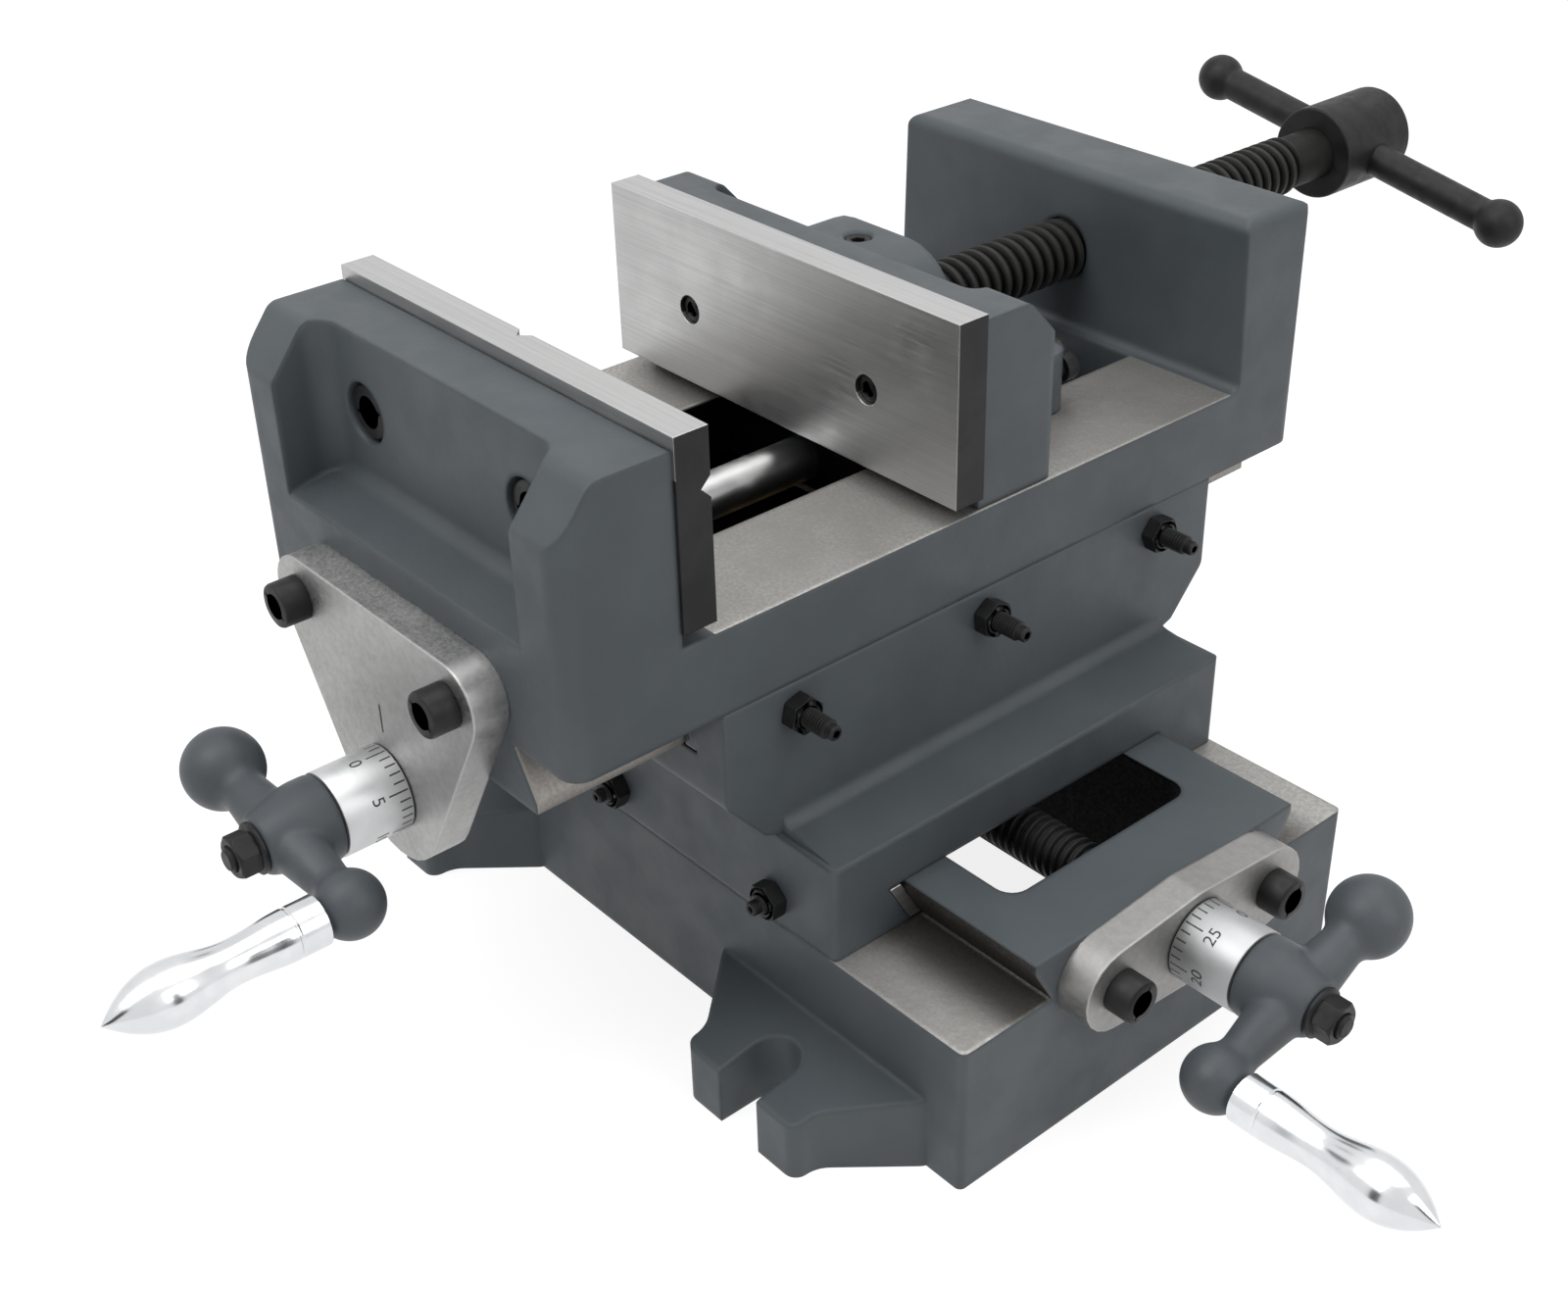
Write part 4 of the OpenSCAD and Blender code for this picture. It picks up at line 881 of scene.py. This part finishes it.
@cache
def soft_facets() -> NodeTree:
    """Node group that welds a solid's facets and marks its sharp edges, so that it shades as one curve.

    Returns:
        The group, made once.
    """
    tree = bpy.data.node_groups.new("soft_facets", "GeometryNodeTree")
    for way in ("INPUT", "OUTPUT"):
        tree.interface.new_socket("Geometry", in_out=way, socket_type="NodeSocketGeometry")
    kinds = ("NodeGroupInput", "GeometryNodeRemoveAttribute", "GeometryNodeMergeByDistance",
             "GeometryNodeSetShadeSmooth", "GeometryNodeSetShadeSmooth", "NodeGroupOutput")
    chain = [tree.nodes.new(kind) for kind in kinds]
    for a, b in zip(chain, chain[1:]):
        tree.links.new(a.outputs[0], b.inputs[0])
    _, strip, weld, _, sharpen, _ = chain
    strip.inputs["Name"].default_value = "custom_normal"
    weld.inputs["Distance"].default_value = 2e-6
    sharpen.domain = "EDGE"
    angle = tree.nodes.new("GeometryNodeInputMeshEdgeAngle")
    below = tree.nodes.new("FunctionNodeCompare")
    below.operation = "LESS_THAN"
    below.inputs["B"].default_value = math.radians(SOFT_LIMIT)
    tree.links.new(angle.outputs["Unsigned Angle"], below.inputs["A"])
    tree.links.new(below.outputs[0], sharpen.inputs["Shade Smooth"])
    return tree


def dress(finish: Finish, *nodes: str) -> None:
    """Give solids that stay as they are a finish and smooth shading.

    Args:
        finish: Finish of the solids.
        nodes: Names of the solids.
    """
    for node in nodes:
        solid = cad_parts[node]
        solid.data.materials.clear()
        solid.data.materials.append(finish.material())
        solid.modifiers.new("soft_facets", "NODES").node_group = soft_facets()
        flat = solid.modifiers.new("flat_faces", "WEIGHTED_NORMAL")
        flat.keep_sharp = True
        flat.weight = 90
        LOG.info("%s keeps its solid", node)


@dataclass
class CrankDrive:
    """Lead screw with its dial, ball crank and revolving grip. Heights run outward from the casting's face."""

    side: Axis
    body: str
    grip_body: str
    dial_finish: Finish
    face: Triple
    crank_turn: float
    zero_at: float
    thread: Point
    tail: Point | None = None
    pitch: float = 3.0
    depth: float = 1.35
    lead_r: float = 8.0
    collar: Triple = (10.0, -6.15, -0.15)
    journal_r: float = 6.0
    spindle_r: float = 5.0
    fit: float = 0.05
    dial_r: float = 12.5
    dial_at: Point = (11.3, 31.5)
    divisions: int = 30
    digit_size: float = 5.2
    digit_at: float = 9.9
    marks: Point = (6.0, 3.4)
    mark_w: float = 0.5
    hub_at: Point = (31.7, 52.2)
    hub_r: Point = (12.5, 8.25)
    ball_up: float = 12.2
    crank_r: float = 32.5
    balls: Point = (11.75, 9.5)
    necks: Point = (6.5, 5.8)
    arm_r: float = 8.5
    fillet: float = 6.0
    ball_flat: float = 1.0
    voxel: float = 0.55
    smoothing: int = 9
    nut: Triple = (6.5, 7.5, 7.5)
    stud: Point = (3.5, 9.0)
    grip_r: Triple = (7.1, 6.0, 8.5)
    grip_bore: float = 3.6
    grip_gap: float = 0.3
    grip_l: float = 60.0
    grip_parts: Triple = (0.15, 0.40, 0.70)
    tip_power: float = 2.15

    @property
    def tag(self) -> str:
        """Letter that starts the names of this drive's pieces."""
        return self.side.name.lower()

    @property
    def ball_height(self) -> float:
        """Height of the middles of the crank's balls."""
        return self.hub_at[0] + self.ball_up

    def seat(self, with_turn: bool = True) -> Matrix:
        """Place of the drive, from its own +Z to the vise, with or without the crank's own turn."""
        at = move(*self.face) @ (TO_X if self.side is Axis.X else TO_FRONT)
        return at @ turn(Axis.Z, self.crank_turn) if with_turn else at

    def build(self) -> None:
        """Build every piece of the drive."""
        self.build_screw()
        self.build_dial()
        self.build_crank()
        self.build_nut()
        self.build_grip()
        dress(ROD, f"{self.tag}_grip_pivot")

    def build_screw(self) -> None:
        """Build the threaded screw with its collar, journal and stud."""
        r, low, high = self.collar
        dial, top = self.dial_at[0], self.hub_at[1]
        stud_r, end = self.stud[0], top + self.stud[1]
        journal, spindle = self.journal_r, self.spindle_r
        shape = Shape()
        shape.add(turned([(0, low - 0.3), (self.lead_r - 1.2, low - 0.3), (r - 0.5, low), (r, low + 0.5),
                          (r, high - 0.5), (r - 0.5, high), (journal, high), (journal, dial - 0.2), (spindle, dial),
                          (spindle, top - 0.4), (stud_r, top), (stud_r, end - 0.8), (stud_r - 0.8, end), (0, end)]),
                  self.seat())
        start, stop = self.thread
        shape.add(threaded(self.lead_r, self.depth, self.pitch, stop - start, 24), self.seat() @ move(0, 0, start))
        if self.tail:
            low, high = self.tail
            shape.add(turned([(0, low), (journal - 0.8, low), (journal, low + 0.8), (journal, high), (0, high)]),
                      self.seat())
        place(f"{self.tag}_lead_screw", shape, self.body, [OXIDE], [f"{self.tag}_screw"])

    def build_dial(self) -> None:
        """Build the dial with its divisions and a number at every fifth one."""
        low, high = self.dial_at
        r, bore, seat = self.dial_r, self.spindle_r + self.fit, self.seat(False)
        shape = Shape()
        shape.add(turned([(bore, low), (r - 0.5, low), (r - 0.12, low + 0.16), (r, low + 0.5), (r, high - 0.5),
                          (r - 0.15, high - 0.15), (r - 0.5, high), (bore, high), (bore, low)], 96), seat)
        for value in range(self.divisions):
            angle = self.zero_at - 360.0 / self.divisions * value
            long = self.marks[value % 5 > 0]
            mark = block((self.mark_w, long, self.mark_w), 0.05, 1)
            bmesh.ops.translate(mark, vec=(0, 0, -0.22), verts=mark.verts)
            shape.add(wrap(mark, r, angle, low + 0.55 + long / 2), seat, 1)
            if value % 5 == 0:
                digits = numeral(str(value), self.digit_size)
                bmesh.ops.rotate(digits, cent=(0, 0, 0), matrix=Matrix.Rotation(math.pi, 3, "Z"), verts=digits.verts)
                shape.add(wrap(digits, r - 0.03, angle, low + self.digit_at), seat, 1)
        place(f"{self.tag}_graduated_dial", shape, self.body, [self.dial_finish, INK],
              [f"{self.tag}_dial"])

    def arm(self, which: int) -> BMesh:
        """Arm with its ball along +Z: 0 for the counterweight, 1 for the ball of the grip."""
        end = ball_end(self.necks[which], self.balls[which], self.fillet, self.crank_r, (10, 24))
        return turned([(0.0, 0.0), (self.arm_r, 0.0)] + end, 56)

    def build_crank(self) -> None:
        """Build the cast crank: hub, two arms and their balls, grown together with fillets."""
        mid = self.ball_height
        low, high = self.hub_at
        wide, end = self.hub_r
        rise = high - low
        hub = [(0, 0), (wide - 0.5, 0), (wide, 0.5), (wide, rise * 0.30), (wide - 0.35, rise * 0.42),
               (end + 0.4, rise - 1.2), (end - 0.4, rise), (0, rise)]
        shape = Shape()
        shape.add(turned(hub, 72), move(0, 0, low))
        shape.add(self.arm(0), move(0, 0, mid) @ TO_X)
        shape.add(self.arm(1), move(0, 0, mid) @ turn(Axis.Y, -90.0))
        grown = self.grow(shape)
        near = [v for v in grown.verts if v.co.x < -self.crank_r / 2]
        geom = near + list({e for v in near for e in v.link_edges}) + list({f for v in near for f in v.link_faces})
        bmesh.ops.bisect_plane(grown, geom=geom, plane_co=(0, 0, mid + self.balls[1] - self.ball_flat),
                               plane_no=(0, 0, 1), clear_outer=True)
        bmesh.ops.holes_fill(grown, edges=[e for e in grown.edges if len(e.link_faces) == 1], sides=0)
        place(f"{self.tag}_ball_crank", Shape().add(grown, self.seat()), self.body, [CRANK_PAINT],
              [f"{self.tag}_crank"], 50.0)

    def grow(self, shape: Shape) -> BMesh:
        """Grow overlapping solids into one casting.

        Args:
            shape: Shape of closed solids that overlap.

        Returns:
            The casting's mesh.
        """
        mesh = settle(shape.bm, "casting")
        holder = stand("casting", mesh)
        remesh = holder.modifiers.new("skin", "REMESH")
        remesh.mode = "VOXEL"
        remesh.voxel_size = self.voxel
        bpy.context.view_layer.update()
        grown = bmesh.new()
        grown.from_object(holder, bpy.context.evaluated_depsgraph_get())
        bpy.data.objects.remove(holder)
        bpy.data.meshes.remove(mesh)
        for _ in range(self.smoothing):
            bmesh.ops.smooth_vert(grown, verts=grown.verts, factor=0.5, use_axis_x=True, use_axis_y=True,
                                  use_axis_z=True)
        return grown

    def build_nut(self) -> None:
        """Build the flanged nut that holds the crank."""
        corner, tall, flange = self.nut
        bore, base = self.stud[0] + self.fit, self.hub_at[1]
        shape = Shape()
        shape.add(turned([(bore, 0), (flange - 0.3, 0), (flange, 0.3), (flange, 1.1), (flange - 0.5, 1.5), (5.4, 1.9),
                          (bore, 1.9), (bore, 0)]), self.seat() @ move(0, 0, base))
        shape.add(hex_nut(corner, tall - 1.5, bore, 0.8923), self.seat() @ move(0, 0, base + 1.5))
        place(f"{self.tag}_flanged_nut", shape, self.body, [SCREW_OXIDE], [f"{self.tag}_crank_nut"])

    def build_grip(self) -> None:
        """Build the chromed grip with its blind bore."""
        start = self.ball_height + self.balls[1] - self.ball_flat + self.grip_gap
        bore, deep = self.grip_bore, self.grip_l * 0.55
        collar, waist, swell = self.grip_r
        c, w, s = (part * self.grip_l for part in self.grip_parts)
        path = [(0.0, deep), (bore, deep), (bore, 0.0), (collar - 0.4, 0.0), (collar, 0.4), (collar, c - 1.1),
                (collar - 0.35, c - 0.75), (collar - 0.35, c - 0.35), (collar, c)]
        for r0, r1, z0, z1, count in ((collar, waist, c, w, 12), (waist, swell, w, s, 16)):
            for i in range(1, count + 1):
                part = i / count
                path.append((r0 + (r1 - r0) * (1 - math.cos(math.pi * part)) / 2, z0 + (z1 - z0) * part))
        for i in range(1, 20):
            part = i / 20
            path.append((swell * (1 - part ** self.tip_power), s + (self.grip_l - s) * part))
        path += [(0.22, self.grip_l - 0.08), (0.0, self.grip_l)]
        shape = Shape().add(turned(path, 72), self.seat() @ move(-self.crank_r, 0, start))
        place(f"{self.tag}_revolving_grip", shape, self.grip_body, [CHROME], [f"{self.tag}_grip"], 40.0)


@dataclass
class Base:
    """Base casting with the lower slide and the end plate of the lower screw."""

    ways: float = 49.0
    slide_top: float = 64.0
    screw: Screw = (4.0, 6.5, 8.0, 27.0)
    screw_at: Triple = (158.0, 32.0, 51.0)

    def finish(self) -> CastPaint:
        """Make the casting's finish.

        Returns:
            Paint with bright ways, painted shade on the ways beside the slide, flanks darkened by painted shade and
            painted shade in the opening.
        """
        level = (self.ways - 0.4, self.ways + 0.4)
        ways = Patch(Look.BRIGHT, y=(40.0, 81.0), z=level, up_only=True)
        # Painted shade: the ways darken beside the slide, where its overhang shades them, fading outward.
        corner_shade = Patch(Look.OILED, y=(40.0, 73.0), z=level, up_only=True, fade=17.0)
        # Painted shade: the slide's flanks are darkened to stand for the shadow they lie in.
        flank = Patch(Look.FLANK, x=(0.0, 146.8), y=(38.5, 60.0), z=(self.ways + 0.3, self.slide_top - 0.3))
        # Painted shade: the opening through the base is darkened where little light reaches.
        hole = Patch(Look.DARK, x=(0.0, 122.9), y=(0.0, 37.9), z=(-1.0, self.slide_top - 0.3))
        return CastPaint("base_paint", (ways, corner_shade, flank, hole))

    def build(self) -> None:
        """Dress the casting and build its fasteners."""
        dress(self.finish(), "base")
        dress(LOWER_PLATE_STEEL, "x_end_plate")
        screw_pair("lower_plate_screws", "base", "x_end_screws", self.screw, self.screw_at, TO_X, Axis.Y)


@dataclass
class Saddle:
    """Saddle with its gib strips, gib screws and the two lead screw nuts."""

    pitch: float = 72.0
    lower: Triple = (-80.0, 58.0, 9.0)  # wall, height and length outside the wall of the gib screws
    upper: Triple = (74.0, 118.2, 16.0)
    screw_r: float = 3.0
    nut: Point = (5.8, 5.0)
    nut_turn: float = 17.0

    def stud(self, inside: float, outside: float) -> BMesh:
        """Threaded gib screw along +Z with a plain square-cut end.

        Args:
            inside: Length inside the wall.
            outside: Length outside the wall.

        Returns:
            The screw.
        """
        r = self.screw_r - 0.8
        whole = Shape().add(threaded(self.screw_r, 0.5, 1.0, inside + outside - 3.0, 20), move(0, 0, -inside))
        whole.add(lofted([(r + 0.5, outside - 3.2), (r, outside - 2.8), (r, outside - 0.5), (r - 0.4, outside),
                          (1.1, outside), (1.0, outside - 0.3, HEX), (1.0, outside - 1.6, HEX)]))
        return whole.bm

    def build(self) -> None:
        """Dress the casting and build its screws and nuts."""
        dress(SADDLE_PAINT, "saddle")
        dress(GIB_STEEL, "x_gib")
        dress(BLUED_STEEL, "y_gib")
        dress(BRONZE, "x_nut", "y_nut")
        dress(SCREW_OXIDE, "x_nut_screws", "y_nut_screws")
        for tag, lean in (("x", TO_FRONT), ("y", TO_X)):
            wall, height, outside = self.lower if tag == "x" else self.upper
            lo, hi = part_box(f"{tag}_gib_screws")
            inside = (hi.y / MM - wall) if tag == "x" else (wall - lo.x / MM)
            screws, nuts = Shape(), Shape()
            for i in (-1, 0, 1):
                along = i * self.pitch
                at = (move(along, wall, height) if tag == "x" else move(wall, along, height)) @ lean
                screws.add(self.stud(inside, outside), at)
                nuts.add(hex_nut(*self.nut, self.screw_r + 0.05), at @ turn(Axis.Z, self.nut_turn * (i + 2)))
            place(f"{tag}_gib_studs", screws, "saddle", [OXIDE], [f"{tag}_gib_screws"])
            place(f"{tag}_gib_lock_nuts", nuts, "saddle", [SCREW_OXIDE], [f"{tag}_gib_nuts"])


@dataclass
class ViseBody:
    """Body casting with the fixed jaw, the guide rod and the end plate of the upper screw."""

    bed: float = 152.8
    slide: Point = (109.8, 127.3)
    slot_end: float = 104.1
    plate_front: float = -98.2
    casting_half: float = 73.9
    screw: Screw = (4.0, 6.5, 8.0, 27.0)
    screw_at: Triple = (36.5, -155.5, 139.2)
    jaw_screw: Screw = (5.0, 8.0, 10.0, 15.0)
    jaw_screw_at: Triple = (38.0, -116.2, 184.6)
    index: Triple = (0.9, 0.3, 9.0)
    index_z: float = 117.0

    def finish(self) -> CastPaint:
        """Make the casting's finish.

        Returns:
            Paint with a bright bed, bare slide flanks and painted shade in the slot.
        """
        bed = Patch(Look.BED, y=(self.plate_front, self.slot_end), z=(self.bed - 0.4, self.bed + 0.4), up_only=True)
        flank = Patch(Look.SIDE, x=(44.0, 57.0), y=(0.0, 144.3), z=(self.slide[0] - 1.0, self.slide[1] - 0.2))
        # Painted shade: the slot is darkened where little light reaches.
        slot = Patch(Look.DARK, x=(0.0, 43.4), y=(-105.4, self.slot_end), z=(90.0, self.bed - 0.5))
        return CastPaint("body_paint", (flank, slot, bed))

    def plate_finish(self) -> GroundSteel:
        """Steel of the fixed jaw's plate, with painted shadow on the strip of the plate's back that stands past the
        casting.
        """
        back = -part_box("fixed_jaw_plate")[0].y / MM
        return GroundSteel("fixed_plate_steel", dark_ends=True, rim=Patch(
            Look.DARK, x=(self.casting_half, 80.0), y=(back - 0.1, back + 0.1), z=(150.0, 200.0)))

    def build(self) -> None:
        """Dress the casting and build its fasteners and the index line above the upper dial."""
        dress(self.finish(), "vise_body")
        dress(self.plate_finish(), "fixed_jaw_plate")
        dress(ROD, "guide_rod")
        dress(UPPER_PLATE_STEEL, "y_end_plate")
        screw_pair("upper_plate_screws", "vise_body", "y_end_screws", self.screw, self.screw_at, TO_FRONT)
        screw_pair("fixed_plate_screws", "vise_body", "fixed_jaw_screws", self.jaw_screw, self.jaw_screw_at, TO_FRONT)
        line = Shape().add(block(self.index, 0.06, 2), move(0.0, self.screw_at[1] + 0.11, self.index_z))
        place("upper_index_line", line, "vise_body", [INK])


@dataclass
class MovableJaw:
    """Movable jaw with its plate, keeper and screws."""

    plate_screw: Screw = (2.5, 4.25, 5.0, 14.5)
    plate_screw_at: Triple = (39.0, -8.2, 181.1)
    foot_screw: Screw = (2.5, 4.25, 5.0, 11.0)
    foot_screw_at: Triple = (41.4, 62.3, 164.12)
    retainer: Triple = (4.0, 18.5, 2.0)
    retainer_at: Triple = (0.0, 18.8, 205.5)

    def build(self) -> None:
        """Dress the casting and build its fasteners."""
        dress(SLIDE_PAINT, "movable_jaw")
        dress(PLATE_STEEL, "movable_jaw_plate")
        dress(GIB_STEEL, "keeper_plate")
        dress(SCREW_OXIDE, "keeper_screws")
        screw_pair("movable_plate_screws", "movable_jaw", "movable_jaw_screws", self.plate_screw, self.plate_screw_at,
                   TO_FRONT)
        screw_pair("foot_cap_screws", "movable_jaw", "foot_screws", self.foot_screw, self.foot_screw_at, TO_BACK)
        shape = Shape().add(set_screw(*self.retainer), move(*self.retainer_at))
        place("boss_set_screw", shape, "movable_jaw", [SCREW_OXIDE], ["retaining_screw"])


@dataclass
class ClampDrive:
    """Clamp screw with its hub and the sliding bar."""

    axis_z: float = 178.5
    nose: Point = (12.3, 8.0)
    groove: Point = (16.3, 21.3)
    thread: Point = (28.7, 218.0)
    screw_r: float = 9.92
    pitch: float = 4.7
    depth: float = 1.8
    neck_r: float = 9.0
    hub: Point = (236.3, 272.3)
    hub_r: float = 16.0
    pin: Point = (2.5, 6.0)
    pin_turn: float = 48.0
    bar_turn: float = 11.0
    bar_shift: float = 4.8
    bar_r: float = 5.75
    bar_half: float = 62.5
    ball_r: float = 8.25
    fillet: float = 3.0

    @property
    def middle(self) -> float:
        """Middle of the hub along Y."""
        return (self.hub[0] + self.hub[1]) / 2

    def seat(self, y: float) -> Matrix:
        """Place on the screw's axis, with +Z toward the hub."""
        return move(0, y, self.axis_z) @ TO_BACK

    def build(self) -> None:
        """Build the screw, the bar and the hub's set screw, and dress the hub."""
        dress(OXIDE, "clamp_head")
        low, r = self.nose
        g0, g1 = self.groove
        start, stop = self.thread
        neck, hub = self.neck_r, self.hub[0]
        shape = Shape()
        shape.add(turned([(0, low), (r - 1.0, low), (r, low + 1.0), (r, g0), (r - 1.8, g0 + 0.2), (r - 1.8, g1 - 0.2),
                          (r, g1), (r, start + 0.5), (0, start + 0.5)]), self.seat(0))
        shape.add(threaded(self.screw_r, self.depth, self.pitch, stop - start, 36), self.seat(start))
        shape.add(turned([(0, stop - 0.5), (self.screw_r - self.depth, stop - 0.5), (neck - 0.4, stop + 0.4),
                          (neck, stop + 1.2), (neck, hub - 0.05), (neck, hub + 6.0), (0, hub + 6.0)]), self.seat(0))
        place("threaded_clamp_screw", shape, "clamp_screw", [THREAD_OXIDE], ["clamp_screw"])
        self.build_bar()
        out = move(0, self.middle + 9.5, self.axis_z) @ turn(Axis.Y, self.pin_turn) @ move(0, 0, self.hub_r - 0.15)
        place("hub_set_screw", Shape().add(set_screw(*self.pin), out), "clamp_screw", [SCREW_OXIDE])

    def build_bar(self) -> None:
        """Build the sliding bar with a ball grown onto each end."""
        upper = ball_end(self.bar_r, self.ball_r, self.fillet, self.bar_half, (8, 22))
        lower = [(x, -z) for x, z in reversed(upper)]
        at = move(0, self.middle, self.axis_z) @ turn(Axis.Y, 90.0 + self.bar_turn) @ move(0, 0, self.bar_shift)
        shape = Shape().add(turned(lower + upper, 64), at)
        place("sliding_bar", shape, "t_bar", [OXIDE], ["t_bar", "t_bar_balls"], 60.0)


@dataclass
class Studio:
    """Floor, soft lamps, white surroundings and the camera. Distances are in metres."""

    eye: Triple = (0.4344, -0.3785, 0.4330)
    ahead: Triple = (-0.6501, 0.5461, -0.5284)
    right: Triple = (0.654, 0.7561, -0.0232)
    lens: float = 48.86
    sensor: float = 36.0
    room_light: float = 0.34
    floor_size: float = 8.0
    floor_tone: Triple = (0.86, 0.86, 0.86)
    floor_glow: float = 1.25
    glow_share: float = 0.68
    lamps: tuple[tuple[str, Triple, Triple, float, float], ...] = (  # name, place, aim, width and watts
        ("key_lamp", (-0.15, -0.75, 1.25), (0.0, 0.0, 0.12), 0.9, 10.0),
        ("side_lamp", (1.25, 0.15, 0.85), (0.0, 0.0, 0.10), 0.9, 6.0),
        ("top_lamp", (0.05, 0.35, 1.5), (0.0, 0.0, 0.1), 1.2, 9.0))
    cards: tuple[tuple[str, Triple, Triple, Point], ...] = (  # name, place, aim, width and height
        ("dark_flag_left", (0.18, -0.81, 0.24), (0.245, -0.031, 0.041), (0.20, 0.48)),
        ("dark_flag_right", (0.723, -0.105, 0.25), (0.032, -0.215, 0.09), (0.14, 0.50)))
    card_tone: Triple = (0.02, 0.02, 0.022)

    def build(self) -> None:
        """Set the scene round the vise."""
        bpy.context.scene.view_settings.view_transform = "Standard"
        self.build_camera()
        self.build_world()
        self.build_floor()
        self.build_lamps()
        self.build_cards()

    def build_camera(self) -> None:
        """Put the camera where the photograph was taken."""
        lens = bpy.data.cameras.new("camera")
        lens.sensor_width = self.sensor
        lens.lens = self.lens
        r, f = Vector(self.right).normalized(), Vector(self.ahead).normalized()
        pose = Matrix((r, r.cross(f).normalized(), -f)).transposed().to_4x4()
        pose.translation = Vector(self.eye)
        camera = stand("camera", lens)
        camera.matrix_world = pose
        bpy.context.scene.camera = camera

    def build_world(self) -> None:
        """White surroundings for the eye and for bright metal, softer light on everything."""
        s = Sheet("white_room", "worlds")
        level = s.node("ShaderNodeMapRange", {0: s.seen(), 3: self.room_light, 4: 1.0})
        glow = s.node("ShaderNodeBackground", {0: WHITE, 1: level.outputs[0]})
        s.node("ShaderNodeOutputWorld", {0: glow.outputs[0]})
        bpy.context.scene.world = s.block

    def build_floor(self) -> None:
        """White floor that keeps a soft shadow."""
        bm = bmesh.new()
        bmesh.ops.create_grid(bm, x_segments=2, y_segments=2, size=self.floor_size)
        s = Sheet("white_floor")
        matt = s.node("ShaderNodeBsdfDiffuse", {0: (*self.floor_tone, 1.0)})
        glow = s.node("ShaderNodeEmission", {1: self.floor_glow})
        share = s.math("MULTIPLY", s.seen(), self.glow_share)
        both = s.node("ShaderNodeMixShader", {0: share, 1: matt.outputs[0], 2: glow.outputs[0]})
        s.node("ShaderNodeOutputMaterial", {0: both.outputs[0]})
        floor = stand("floor", settle(bm, "floor"))
        floor.data.materials.append(s.block)

    def build_lamps(self) -> None:
        """Hang the soft lamps."""
        for name, at, to, size, watts in self.lamps:
            light = bpy.data.lights.new(name, "AREA")
            light.shape = "SQUARE"
            light.size = size
            light.energy = watts
            lamp = stand(name, light)
            lamp.location = at
            lamp.rotation_euler = (Vector(to) - Vector(at)).to_track_quat("-Z", "Y").to_euler()

    def build_cards(self) -> None:
        """Stand the dark cards that only bright metal mirrors."""
        for name, at, to, size in self.cards:
            bm = bmesh.new()
            bmesh.ops.create_grid(bm, x_segments=1, y_segments=1, size=0.5)
            bmesh.ops.scale(bm, vec=(*size, 1.0), verts=bm.verts)
            face = (Vector(to) - Vector(at)).to_track_quat("Z", "Y").to_matrix().to_4x4()
            bmesh.ops.transform(bm, matrix=move(*at) @ face, verts=bm.verts)
            card = stand(name, settle(bm, name))
            card.data.materials.append(Sheet(name).close(Base_Color=self.card_tone, Roughness=0.9))
            card.visible_camera = card.visible_diffuse = card.visible_shadow = False


def main() -> None:
    """Build the vise from the base up, then the studio."""
    logging.basicConfig(level=logging.INFO, format="%(name)s: %(message)s")
    Base().build()
    CrankDrive(Axis.X, "x_drive", "x_grip", DIAL_X, face=(147.0, 0.0, 51.0), crank_turn=108.0, zero_at=155.0,
               thread=(-267.5, -6.5), tail=(-290.0, -264.0)).build()
    Saddle().build()
    ViseBody().build()
    CrankDrive(Axis.Y, "y_drive", "y_grip", DIAL_Y, face=(0.0, -144.5, 95.0), crank_turn=172.0, zero_at=85.0,
               thread=(-221.5, -6.5)).build()
    MovableJaw().build()
    ClampDrive().build()
    Studio().build()


if __name__ == "__main__":
    main()
